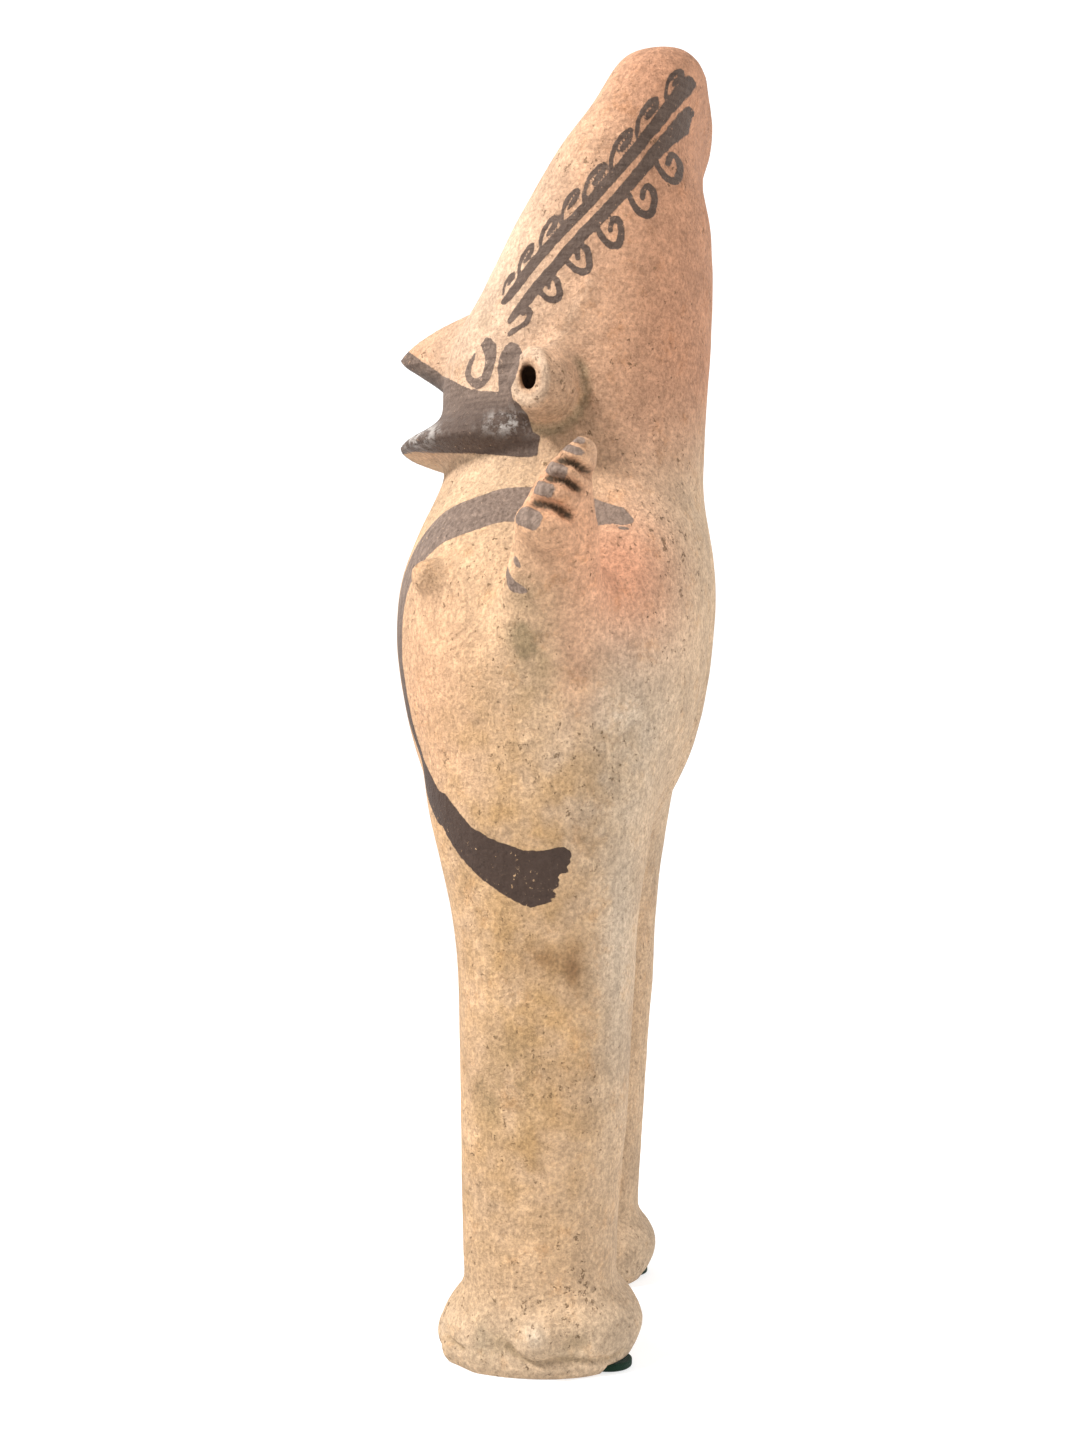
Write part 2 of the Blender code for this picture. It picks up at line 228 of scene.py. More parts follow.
def rough_field(places: Array, size: float, seed: int) -> Array:
    """A smooth random field from -1 to 1: random values on a lattice, eased between its corners.

    Args:
        places: Points, one row each.
        size: Width of one lattice cell.
        seed: Chooses the random values.

    Returns:
        The field at each place.
    """
    wide = 64
    lattice = np.random.default_rng(seed).uniform(-1, 1, (wide, wide, wide))
    cell = places / size
    corner = np.floor(cell).astype(int)
    part = cell - corner
    part = part * part * (3 - 2 * part)
    total = np.zeros(len(places))
    for step in np.ndindex(2, 2, 2):
        weight = np.prod(np.where(np.array(step) == 1, part, 1 - part), axis=1)
        x, y, z = ((corner + step) % wide).T
        total += weight * lattice[x, y, z]
    return total


def lump_field(places: Array, centre: tuple[float, ...], size: tuple[float, ...]) -> Array:
    """A soft spot: 1 at its centre, falling off as exp(-r^2) where r is the distance in its own sizes."""
    return np.exp(-(((places - np.array(centre)) / np.array(size)) ** 2).sum(axis=1))


def closed_mesh(name: str, stacks: list[Array]) -> bpy.types.Mesh:
    """Skins stacks of rings, with four-sided faces between neighbours and one face over each end.

    Args:
        name: The mesh's name.
        stacks: Arrays of rings, points round a ring and three coordinates.

    Returns:
        The new mesh, faces outward.
    """
    points, faces, start = [], [], 0
    for rings in stacks:
        index = start + np.arange(rings[..., 0].size).reshape(rings.shape[:2])
        beside = np.roll(index, -1, axis=1)
        sides = np.stack([index[:-1], beside[:-1], beside[1:], index[1:]], axis=-1)
        faces += sides.reshape(-1, 4).tolist() + [index[0, ::-1].tolist(), index[-1].tolist()]
        points.append(rings.reshape(-1, 3))
        start += index.size
    mesh = bpy.data.meshes.new(name)
    mesh.from_pydata(np.concatenate(points), [], faces)
    outward(mesh)
    return mesh


def outward(mesh: bpy.types.Mesh) -> None:
    """Turns every face of a closed mesh to the outside."""
    bm = bmesh.new()
    bm.from_mesh(mesh)
    bmesh.ops.recalc_face_normals(bm, faces=bm.faces)
    bm.to_mesh(mesh)
    bm.free()


def new_piece(name: str, mesh: bpy.types.Mesh) -> bpy.types.Object:
    """Puts a mesh into the scene as an object at the origin."""
    piece = bpy.data.objects.new(name, mesh)
    bpy.context.scene.collection.objects.link(piece)
    return piece


def settle(piece: bpy.types.Object) -> None:
    """Puts the result of a piece's modifiers into its mesh."""
    bpy.context.view_layer.update()
    graph = bpy.context.evaluated_depsgraph_get()
    piece.data = bpy.data.meshes.new_from_object(piece.evaluated_get(graph))
    piece.modifiers.clear()


def joined(first: bpy.types.Mesh, second: bpy.types.Mesh) -> bpy.types.Mesh:
    """One mesh that holds the faces of two."""
    bm = bmesh.new()
    bm.from_mesh(first)
    bm.from_mesh(second)
    mesh = bpy.data.meshes.new(first.name)
    bm.to_mesh(mesh)
    bm.free()
    return mesh


def press_together(piece: bpy.types.Object, grain: float, smoothing: int) -> None:
    """Runs the lumps of a piece together in a grid of cells, and smooths the joins.

    Args:
        piece: The piece whose mesh is worked.
        grain: Width of a cell.
        smoothing: Rounds of smoothing.
    """
    remesh = piece.modifiers.new("press_together", "REMESH")
    remesh.mode = "VOXEL"
    remesh.voxel_size = grain
    smooth = piece.modifiers.new("smooth_joins", "SMOOTH")
    smooth.factor = 0.5
    smooth.iterations = smoothing
    settle(piece)


def take_away(piece: bpy.types.Object, stacks: list[Array]) -> None:
    """Takes closed shapes, given as stacks of rings, out of a piece."""
    for rings in stacks:
        cutter = new_piece("cut", closed_mesh("cut", [rings]))
        cut = piece.modifiers.new("cut", "BOOLEAN")
        cut.operation = "DIFFERENCE"
        cut.solver = "EXACT"
        cut.object = cutter
        settle(piece)
        bpy.data.objects.remove(cutter, do_unlink=True)


def points_of(mesh: bpy.types.Mesh) -> Array:
    """Places of a mesh's points, one row each."""
    flat = np.empty(len(mesh.vertices) * 3, np.float32)
    mesh.vertices.foreach_get("co", flat)
    return flat.reshape(-1, 3).astype(float)


def normals_of(mesh: bpy.types.Mesh) -> Array:
    """Directions in which a mesh's points face, one row each."""
    flat = np.empty(len(mesh.vertices) * 3, np.float32)
    mesh.vertex_normals.foreach_get("vector", flat)
    return flat.reshape(-1, 3).astype(float)


def move_points(mesh: bpy.types.Mesh, places: Array) -> None:
    """Puts a mesh's points at new places."""
    mesh.vertices.foreach_set("co", places.astype(np.float32).ravel())
    mesh.update()


def work_finer(mesh: bpy.types.Mesh, chosen: Array) -> None:
    """Splits each chosen face in four and leaves the shape as it is.

    Args:
        mesh: The mesh to be split.
        chosen: True for each point whose faces are split.
    """
    bm = bmesh.new()
    bm.from_mesh(mesh)
    bm.verts.ensure_lookup_table()
    edges = [edge for edge in bm.edges if chosen[edge.verts[0].index] and chosen[edge.verts[1].index]]
    bmesh.ops.subdivide_edges(bm, edges=edges, cuts=1, use_grid_fill=True)
    bm.to_mesh(mesh)
    bm.free()


def store_number(mesh: bpy.types.Mesh, name: str, values: Array) -> None:
    """Keeps one number for each point of a mesh, for its material to read."""
    attribute = mesh.attributes.new(name, "FLOAT", "POINT")
    attribute.data.foreach_set("value", values.astype(np.float32))


def store_colour(mesh: bpy.types.Mesh, name: str, values: Array) -> None:
    """Keeps one colour for each point of a mesh, for its material to read."""
    attribute = mesh.attributes.new(name, "FLOAT_COLOR", "POINT")
    opaque = np.hstack([values, np.ones((len(values), 1))])
    attribute.data.foreach_set("color", opaque.astype(np.float32).ravel())


@dataclass(frozen=True)
class StandingLump:
    """Clay that stands up: level rings one above another, from a table in steps.

    Attributes:
        rows: Level, half width, front, back, and depth of the cleft down the back.
        squareness: 2 for round rings, more for squarer ones.
        offset: Distance of its middle from the figure's, towards its left.
        cleft_half_width: Half width of the cleft.
        arch: How far the crown's corners drop.
        arch_start: Level where that drop begins.
        arch_reach: Distance from the middle at which the drop is full.
        crown_squareness: Squareness of the topmost rings, where it differs.
    """

    rows: Rows
    squareness: float
    offset: float = 0.0
    cleft_half_width: float = 13.0
    arch: float = 0.0
    arch_start: float = 470.0
    arch_reach: float = 70.0
    crown_squareness: float | None = None

    def rings(self) -> Array:
        """The rings, level by level; the cleft is a bell curve in x, and the crown drops with x squared."""
        low, high = self.rows[0][0], self.rows[-1][0]
        levels = np.linspace(low, high, max(4, round((high - low) / 3)))
        half_width, front, back, cleft = eased(self.rows, levels).T
        crown = np.clip((levels - self.arch_start) / (STEPS_TALL - self.arch_start), 0, None)
        growth = (self.crown_squareness or self.squareness) - self.squareness
        across, along = unit_ring(self.squareness + growth * np.minimum(crown, 1)[:, None])
        x = half_width[:, None] * across
        y = ((front + back)[:, None] + (back - front)[:, None] * along) / 2
        behind = np.clip(along, 0, None)
        y = y - cleft[:, None] * behind * bell(x, self.cleft_half_width)
        z = levels[:, None] - self.arch * crown[:, None] * (x / self.arch_reach) ** 2
        return np.stack([x + self.offset, y, z], axis=-1)


@dataclass(frozen=True)
class NoseLump:
    """The beak of a nose: upright rings from inside the face to the tip.

    Attributes:
        rows: Forward, underside, bridge, half width.
        taper: How much narrower the bridge is than the underside.
    """

    rows: Rows
    taper: float = 0.35

    def rings(self) -> Array:
        """The rings, from the face forward; each is an ellipse pinched towards the bridge."""
        forward = np.linspace(self.rows[0][0], self.rows[-1][0], 30)
        low, high, half_width = eased(self.rows, forward).T
        across, up = unit_ring(2.0)
        x = half_width[:, None] * across * (1 - self.taper * up)
        z = ((low + high)[:, None] + (high - low)[:, None] * up) / 2
        return np.stack([x, np.broadcast_to(-forward[:, None], x.shape), z], axis=-1)


@dataclass(frozen=True)
class ArmLump:
    """One stub arm: leaning rings from inside the shoulder out to the palm.

    Attributes:
        rows: Outward, middle along Y, middle level, half depth, half height.
        lean: Lean of the rings, in radians.
        side: 1 for the left arm, -1 for the right.
    """

    rows: Rows
    lean: float
    side: int

    def rings(self) -> Array:
        """The rings, from the shoulder out; each is a superellipse turned by the lean."""
        outward_places = np.linspace(self.rows[0][0], self.rows[-1][0], 24)
        middle, level, half_depth, half_height = eased(self.rows, outward_places).T
        across, up = unit_ring(2.2)
        y, z = turned(half_depth[:, None] * across, half_height[:, None] * up, -self.lean)
        x = np.broadcast_to(self.side * outward_places[:, None], y.shape)
        return np.stack([x, middle[:, None] + y, level[:, None] + z], axis=-1)


@dataclass(frozen=True)
class RoundLump:
    """A pressed-on ball of clay.

    Attributes:
        centre: Its middle.
        size: Its half sizes.
        lean: Turn about X, in radians.
        pole_gap: Angle left open at each pole, in radians.
    """

    centre: Place
    size: Place
    lean: float = 0.0
    pole_gap: float = 0.03

    def rings(self) -> Array:
        """The rings of the ball from pole to pole, stretched by its sizes and then leant."""
        polar = np.linspace(self.pole_gap, math.pi - self.pole_gap, 22)[:, None]
        turn = np.linspace(0, 2 * math.pi, 36, endpoint=False)
        x = np.sin(polar) * np.cos(turn) * self.size[0]
        y = np.sin(polar) * np.sin(turn) * self.size[1]
        z = -np.cos(polar) * np.ones_like(turn) * self.size[2]
        return np.stack([x, *turned(y, z, self.lean)], axis=-1) + np.array(self.centre)


@dataclass(frozen=True)
class Head:
    """Tall head and trunk in one, with the beak of a nose, the shelf of the jaw, and two pierced ears.

    Attributes:
        trunk, jaw: Rows of a standing lump.
        nose: Rows of a nose lump.
        ear_face: Distance of the lug's outer face from the middle of the figure.
        ear_hole: Depth to each side of that face, half width and half height.
        ear_hole_place: Its middle.
        ear_lip: Half width and half height of the raised rim.
        ear_root: Half width and half height of the hollow round the lug.
        ear_ridge: Line of the ridge above the ear.
        nose_root: Middle of the hollow beside the nose.
    """

    trunk: Rows = (
        (186, 10, -8, 8, 0), (193, 28, -26, 25, 4), (204, 52, -42, 41, 12), (218, 80, -50, 49, 17),
        (237, 100, -56, 57, 15), (262, 105, -61, 63.5, 11), (284, 104, -63.5, 66.5, 8),
        (301, 100, -63.5, 67.5, 6), (317, 92, -60, 67, 3), (331, 81, -55, 64, 0), (342, 70, -50, 62, 0),
        (352, 63, -46, 61.5, 0), (365, 61, -47, 62, 0), (384, 64, -48, 63, 0), (404, 66, -44, 64.5, 0),
        (419, 67, -34, 65, 0), (433, 67, -27, 65.5, 0), (455, 68, -15, 65, 0), (480, 71, 2, 60.5, 0),
        (495, 72.5, 15, 62.5, 0), (505, 71.5, 21.5, 66, 0), (514, 67.5, 26.5, 65, 0),
        (519, 60, 30.5, 62.5, 0), (521.5, 47, 35.5, 57, 0),
    )
    jaw: Rows = (
        (353, 50, -43, 30, 0), (357, 58, -51, 36, 0), (360.5, 64, -62, 39, 0), (363.5, 66, -69, 40, 0),
        (367, 66, -61, 40, 0), (372, 65.5, -52, 38, 0), (379, 64, -46, 35, 0), (386, 60, -42, 30, 0),
    )
    nose: Rows = (
        (12, 372, 430, 46), (24, 376, 429, 38), (36, 382, 424, 27), (46, 388, 420, 18),
        (55, 394, 415.5, 11.5), (62, 398.5, 411, 7.5), (67, 401.5, 406.5, 4.5), (69, 403, 405, 2),
    )
    ear_place: Place = (64, 2.6, 380.5)
    ear_size: Place = (18, 13, 14)
    ear_lean: float = math.radians(12)
    ear_face: float = 78.0
    ear_hole: Place = (11.0, 3.5, 6.5)
    ear_hole_place: tuple[float, float] = (-2.2, 382.3)
    ear_lip: tuple[float, float] = (7.0, 10.0)
    ear_root: tuple[float, float] = (16.0, 17.0)
    ear_ridge: Rows = ((3.0, 393.0, 0.0), (12.0, 404.0, 0.0), (20.0, 420.0, 0.0))
    nose_root: Place = (52, -22, 409)
    nose_root_size: Place = (14, 7, 9)
    nipple: Place = (84, -40, 305)
    nipple_radius: float = 7.5

    def body(self) -> list[Array]:
        """The large lump of head and trunk."""
        return [StandingLump(self.trunk, 2.5, arch=7.0, crown_squareness=3.3).rings()]

    def details(self) -> list[Array]:
        """The jaw, the nose, the ears and the nipples."""
        lumps = [StandingLump(self.jaw, 2.1).rings(), NoseLump(self.nose).rings()]
        for side in SIDES.values():
            lumps.append(RoundLump(mirrored(self.ear_place, side), self.ear_size, self.ear_lean).rings())
            lumps.append(RoundLump(mirrored(self.nipple, side), (self.nipple_radius,) * 3).rings())
        return lumps

    def cuts(self) -> list[Array]:
        """The two ear holes, as oval pegs that lie along X and lean with the ears."""
        turn = np.linspace(0, 2 * math.pi, 28, endpoint=False)
        deep, half_width, half_height = self.ear_hole
        y, z = turned(half_width * np.cos(turn), half_height * np.sin(turn), self.ear_lean)
        y, z = y + self.ear_hole_place[0], z + self.ear_hole_place[1]
        pegs = []
        for side in SIDES.values():
            x = side * np.array([self.ear_face - deep, self.ear_face + deep])[:, None] * np.ones_like(turn)
            pegs.append(np.stack([x, x * 0 + y, x * 0 + z], axis=-1))
        return pegs

    def from_hole(self, places: Array, half_sizes: tuple[float, float]) -> Array:
        """Distance from the ear hole's middle.

        Args:
            places: Points in steps.
            half_sizes: Half width and half height of an oval that leans with the ear.

        Returns:
            1 on that oval, and in proportion elsewhere.
        """
        across, up = turned(*(places[:, 1:] - np.array(self.ear_hole_place)).T, -self.ear_lean)
        return np.hypot(across / half_sizes[0], up / half_sizes[1])

    def relief(self, places: Array) -> Array:
        """Outward steps at each place: roots of nose and lug, the ear hole's lip and the ridge."""
        out, y, z = folded(places).T
        _, middle, level = self.ear_place
        nose_root = lump_field(folded(places), self.nose_root, self.nose_root_size)
        from_lug = np.hypot((y - middle) / self.ear_root[0], (z - level) / self.ear_root[1])
        behind_lug = ramp(y - z + level, -4, 12) * ramp(out, 90, 78) * (out > 55)
        lug_root = bell(from_lug - 1, 0.16) * behind_lug
        ridge = bell(stroke_edge(places[:, 1:], np.array(self.ear_ridge)), 3.5) * (out > 50)
        lip = bell(self.from_hole(places, self.ear_lip) - 1, 0.3) * ramp(out, 66, 72)
        return 2.2 * lip + ridge - 1.2 * nose_root - 2.4 * lug_root


@dataclass(frozen=True)
class Arms:
    """Two stub arms, each ending in a leaning row of five finger ends.

    Attributes:
        rows: Rows of an arm lump.
        lean: Lean of arm and hand towards the back, in radians.
        hand: Middle of the palm.
        fingers: Place along the row, distance towards the back, half depth and half height.
        finger_reach: Half length of a finger end.
        grooves: Place along the row, middle and half length of its run, depth and half width.
    """

    rows: Rows = (
        (70, 5, 256, 22, 30), (88, 7, 263, 22, 32), (100, 9, 280, 19, 33), (110, 11, 307, 17, 31),
        (119, 12, 327, 14, 25),
    )
    lean: float = math.radians(23)
    hand: Place = (119, 12, 331)
    fingers: Rows = (
        (21.0, 4.2, 5.0, 3.4), (16.3, 3.8, 7.0, 3.6), (9.6, 3.4, 9.0, 4.6), (0.9, 3.0, 10.0, 5.6),
        (-11.5, 2.5, 12.5, 8.2),
    )
    finger_reach: float = 12.0
    grooves: Rows = (
        (19.6, 4.5, 4.5, 1.5, 1.0), (12.7, 4.5, 7.0, 4.4, 1.5), (5.7, 2.8, 7.0, 4.4, 1.5),
        (-4.3, 2.4, 8.0, 4.2, 1.7),
    )

    def body(self) -> list[Array]:
        """The arms."""
        return [ArmLump(self.rows, self.lean, side).rings() for side in SIDES.values()]

    def details(self) -> list[Array]:
        """The finger ends, one ball of clay each, from the top of the row down."""
        lumps = []
        for side in SIDES.values():
            for along, behind, half_depth, half_height in self.fingers:
                y, z = turned(behind, along, -self.lean)
                centre = (side * self.hand[0], self.hand[1] + y, self.hand[2] + z)
                size = (self.finger_reach, half_depth, half_height)
                lumps.append(RoundLump(centre, size, -self.lean).rings())
        return lumps

    def across_hand(self, places: Array) -> tuple[Array, Array, Array]:
        """Places in the hand's own directions.

        Args:
            places: Points in steps.

        Returns:
            Distance along the row of fingers, distance towards the back, and distance out from the body.
        """
        y, z = places[:, 1] - self.hand[1], places[:, 2] - self.hand[2]
        behind, along = turned(y, z, self.lean)
        return along, behind, np.abs(places[:, 0])

    def groove_field(self, places: Array) -> Array:
        """Depth of the grooves between the fingers, each a bell curve across that fades in at its ends."""
        along, behind, out = self.across_hand(places)
        wave = 0.5 * np.sin(behind / 2.5)
        depth = np.zeros(len(places))
        for at, middle, length, deep, half_width in self.grooves:
            reach = ramp(np.abs(behind - middle), length + 1.5, length - 1.5)
            depth = np.maximum(depth, deep * bell(along - at - wave, half_width) * reach)
        return depth * ramp(out, 114, 121)

    def relief(self, places: Array) -> Array:
        """Outward steps at each place: the grooves."""
        return -self.groove_field(places)


@dataclass(frozen=True)
class Legs:
    """Two thick legs on small feet with five toes and an ankle knob each.

    Attributes:
        apart: Distance of a leg's middle from the figure's.
        right_foot_shift: How far back the right foot stands.
        leg, foot: Rows of a standing lump.
        toe_arc: Middle, half width and reach of the arc that the toes stand on.
        toe_fan: Half angle of that arc, in radians.
        foot_crease, toe_notch: Lines pressed into the outer side of the foot.
        foot_relief: Middles and sizes of the foot's hollows and its ledge, and how far they rise.
    """

    apart: float = 55.0
    right_foot_shift: float = -3.0
    leg: Rows = (
        (4, 31, -29, 29, 0), (30, 31, -30.5, 30, 0), (60, 32, -31.5, 31.5, 0),
        (100, 33, -32.5, 34.5, 0), (140, 34, -33, 37, 0), (172, 37, -35.5, 38.5, 0),
        (195, 42, -40, 42, 0), (220, 47, -46, 46, 0), (240, 47, -47, 49, 0), (262, 42, -42, 46, 0),
        (280, 30, -28, 32, 0),
    )
    foot: Rows = (
        (-6, 28, -32, 29, 0), (0, 32, -36, 34, 0), (6, 34, -38.5, 38, 0), (14, 34.5, -39, 40.5, 0),
        (21, 33.5, -36, 38, 0), (27, 31, -31, 33, 0), (32, 29, -27, 28, 0),
    )
    toe_count: int = 5
    toe_radius: float = 6.2
    toe_level: float = 7.0
    toe_arc: Place = (-8.0, 28.0, 27.0)
    toe_fan: float = math.radians(64)
    ankle_knob: Place = (87, 3.5, 15.5)
    ankle_knob_size: Place = (8, 7.5, 7)
    foot_crease: Rows = (
        (-8.0, 12.0, 0.0), (-4.0, 8.5, 0.0), (3.0, 6.5, 0.0), (10.0, 8.0, 0.0), (18.0, 7.0, 0.0),
        (28.0, 6.0, 0.0), (34.0, 7.0, 0.0),
    )
    toe_notch: Rows = ((-40.0, 12.5, 0.0), (-31.0, 9.0, 0.0), (-27.0, 8.0, 0.0))
    foot_relief: tuple[tuple[Place, Place, float], ...] = (
        ((90, 18, 14), (9, 7, 5), -2.0),
        ((88, -12, 13), (9, 6, 6), -1.6),
        ((90, 10, 3.5), (12, 26, 3.0), 0.8),
    )

    def foot_shift(self, side: int) -> float:
        """How far back a foot stands; the right one was set a little forward."""
        return 0.0 if side > 0 else self.right_foot_shift

    def body(self) -> list[Array]:
        """The legs."""
        return [StandingLump(self.leg, 2.2, side * self.apart).rings() for side in SIDES.values()]

    def details(self) -> list[Array]:
        """The feet, a fan of toes round the front of each, and the ankle knobs."""
        lumps = []
        centre, half_width, reach = self.toe_arc
        size = (self.toe_radius, self.toe_radius * 1.15, self.toe_radius * 1.4)
        for side in SIDES.values():
            shift = self.foot_shift(side)
            lumps.append(StandingLump(self.foot, 2.3, side * self.apart).rings() + (0, shift, 0))
            for swing in np.linspace(-self.toe_fan, self.toe_fan, self.toe_count):
                x = side * self.apart + half_width * math.sin(swing)
                y = centre - reach * math.cos(swing) + shift
                lumps.append(RoundLump((x, y, self.toe_level), size).rings())
            lumps.append(RoundLump(mirrored(self.ankle_knob, side), self.ankle_knob_size).rings())
        return lumps

    def relief(self, places: Array) -> Array:
        """Outward steps at each place: a crease, a notch, and what lies round the ankle knob."""
        over = folded(places)
        crease = stroke_edge(over[:, 1:], curve_through(self.foot_crease))
        notch = stroke_edge(over[:, 1:], np.array(self.toe_notch))
        cut = (-1.6 * bell(crease, 1.4) - 1.8 * bell(notch, 1.1)) * ramp(over[:, 0], 66, 76)
        return cut + sum(rise * lump_field(over, centre, size) for centre, size, rise in self.foot_relief)


@dataclass(frozen=True)
class HeadStripes:
    """Two slanting painted stripes on each side of the head, with leaves before them and hooks behind.

    Attributes:
        upper, lower: The stripes, each point with a half width.
        leaves, hooks: Place, size and turn in degrees of each small stroke.
        leaf_line, hook_line: The shape that those strokes share.
        last_hook: The lowest hook, which has a shape of its own.
        inner: Distance from the figure's middle where the sides of the head begin.
        lowest: Level below which there is none of this paint.
    """

    upper: Rows = (
        (-14.2, 415.2, 1.5), (-10.1, 419.2, 2.0), (-2.7, 428.1, 2.1), (8.3, 439.3, 2.1),
        (19.0, 449.6, 2.1), (29.6, 460.6, 2.1), (39.1, 471.3, 2.1), (48.8, 484.3, 2.1),
        (57.0, 496.4, 2.0), (59.5, 500.0, 1.6),
    )
    lower: Rows = (
        (-11.8, 406.8, 1.0), (-6.2, 412.6, 2.2), (1.1, 420.9, 2.3), (8.3, 428.4, 2.35),
        (15.5, 436.4, 2.35), (29.5, 450.2, 2.35), (39.9, 462.3, 2.35), (46.0, 470.6, 2.35),
        (51.9, 478.6, 2.35), (57.0, 486.6, 2.4), (59.0, 490.0, 2.0),
    )
    leaves: Rows = (
        (-14.7, 419.1, 0.63, -6), (-8.2, 425.0, 0.94, 0), (0.6, 434.4, 1.03, -3),
        (9.3, 444.4, 0.97, -4), (18.3, 452.8, 1.07, -8), (28.9, 464.1, 1.13, -5),
        (39.0, 476.4, 1.10, -6), (50.1, 491.1, 0.89, -5),
    )
    leaf_line: Rows = (
        (0.0, -0.8, 0.8), (0.1, 3.9, 0.75), (1.4, 7.9, 0.95), (3.8, 11.3, 0.95), (6.0, 13.0, 0.45),
        (5.6, 9.9, 0.95), (3.9, 7.1, 1.05), (2.5, 5.1, 0.6),
    )
    hooks: Rows = (
        (51.0, 466.6, 1.0, 0), (41.4, 452.2, 1.05, 0), (29.1, 439.5, 1.0, 3), (16.6, 429.4, 1.0, 15),
        (5.2, 418.2, 0.9, 20),
    )
    hook_line: Rows = (
        (-5.4, 1.2, 1.1), (-4.3, -1.2, 1.1), (-2.6, -3.7, 1.3), (0.2, -5.4, 1.5), (2.6, -4.3, 1.45),
        (3.5, -0.8, 1.3), (3.5, 2.7, 1.3), (1.5, 5.0, 1.15), (-0.1, 3.2, 1.05), (-0.7, 0.5, 0.95),
    )
    last_hook: Rows = (
        (-11.7, 401.6, 1.1), (-7.8, 403.8, 1.1), (-4.6, 405.8, 1.1), (-3.2, 408.9, 1.1),
        (-4.2, 410.8, 1.0), (-6.2, 409.3, 1.0),
    )

    inner: float = 43.0
    lowest: float = 392.0

    def placed(self, rows: Rows, y: float, z: float, size: float, turn: float) -> Array:
        """A small stroke as a smooth line: sized, turned by degrees and put at its place."""
        path = curve_through(rows, 4)
        angle = math.radians(turn)
        spin = np.array([[math.cos(angle), math.sin(angle)], [-math.sin(angle), math.cos(angle)]])
        return np.column_stack([path[:, :2] @ spin * size + (y, z), path[:, 2] * math.sqrt(size)])

    def edge(self, places: Array) -> Array:
        """Signed distance from the edge of this paint, on the sides of the head only.

        Args:
            places: Points in steps.

        Returns:
            The distance in steps, negative in the paint.
        """
        strokes = [curve_through(self.upper), curve_through(self.lower), curve_through(self.last_hook)]
        strokes += [self.placed(self.leaf_line, *leaf) for leaf in self.leaves]
        strokes += [self.placed(self.hook_line, *hook) for hook in self.hooks]
        edge = np.full(len(places), FAR)
        near = (np.abs(places[:, 0]) > self.inner) & (places[:, 2] > self.lowest)
        flat = places[near, 1:]
        edge[near] = np.min([stroke_edge(flat, stroke) for stroke in strokes], axis=0)
        return edge


@dataclass(frozen=True)
class FacePaint:
    """The dark area round the mouth with a lozenge before each ear, and an almond ring round each eye.

    Attributes:
        mask: Outline of the dark area.
        eye, eye_light: Outer and inner outline of the ring.
        eye_marks: The broken brush stroke in it.
        inner: Distance from the figure's middle where the rings begin.
        lowest: Level below which there is none of this paint.
    """

    mask: Rows = (
        (-66.0, 409.5), (-63.7, 407.5), (-58.6, 403.2), (-51.8, 398.5), (-41.5, 390.1), (-33.8, 384.8),
        (-28.1, 381.7), (-21.1, 379.8), (-16.3, 379.3), (-16.4, 384.6), (-16.8, 388.9), (-15.7, 393.6),
        (-13.5, 397.2), (-11.0, 398.4), (-8.0, 397.2), (-6.0, 393.5), (-6.2, 387.4), (-7.2, 382.0),
        (-9.4, 378.2), (-8.9, 374.4), (-6.1, 371.9), (-3.9, 368.9), (-2.4, 362.9), (0.5, 361.5),
        (-0.3, 357.7), (-0.5, 353.9), (-3.5, 353.0), (-9.6, 353.6), (-21.5, 355.3), (-34.7, 357.1),
        (-51.2, 359.6), (-66.0, 362.0), (-90.0, 362.0), (-90.0, 420.0),
    )
    eye: Rows = (
        (-19.4, 401.1), (-17.4, 398.0), (-17.2, 393.7), (-18.7, 388.3), (-20.9, 383.7), (-24.0, 381.8),
        (-27.4, 382.4), (-30.4, 385.2), (-31.2, 389.2), (-29.3, 393.5), (-26.4, 397.0), (-23.6, 399.8),
        (-21.8, 401.6),
    )
    eye_light: Rows = (
        (-23.7, 397.6), (-22.3, 394.6), (-22.3, 390.2), (-23.5, 386.9), (-26.2, 386.0), (-28.6, 387.6),
        (-28.4, 391.2), (-28.3, 395.4), (-28.0, 399.0), (-25.0, 400.0),
    )
    eye_marks: Rows = ((-28.6, 391.2, 0.5), (-27.6, 394.2, 0.8), (-26.8, 395.6, 0.5))
    inner: float = 30.0
    lowest: float = 340.0

    def edge(self, places: Array) -> Array:
        """Signed distance from the edge of this paint; the ring is the outer almond less the inner.

        Args:
            places: Points in steps.

        Returns:
            The distance in steps, negative in the paint.
        """
        flat = places[:, 1:]
        mask = patch_edge(flat, np.array(self.mask))
        outer = patch_edge(flat, curve_through(self.eye + self.eye[:1], 3)[:-1])
        inner = patch_edge(flat, curve_through(self.eye_light + self.eye_light[:1], 3)[:-1])
        ring = np.minimum(np.maximum(outer, -inner), stroke_edge(flat, np.array(self.eye_marks)))
        ring = np.where(np.abs(places[:, 0]) > self.inner, ring, FAR)
        return np.where(places[:, 2] > self.lowest, np.minimum(mask, ring), FAR)

    def rubbed(self, places: Array) -> Array:
        """Where the paint is polished and worn pale: along the top of the jaw's shelf."""
        over = folded(places)
        front = lump_field(over, (35, -50, 366), (26, 10, 4.5))
        side = lump_field(over, (66, -12, 366.5), (9, 9, 4.0))
        return np.clip(1.3 * front + side, 0, 1)


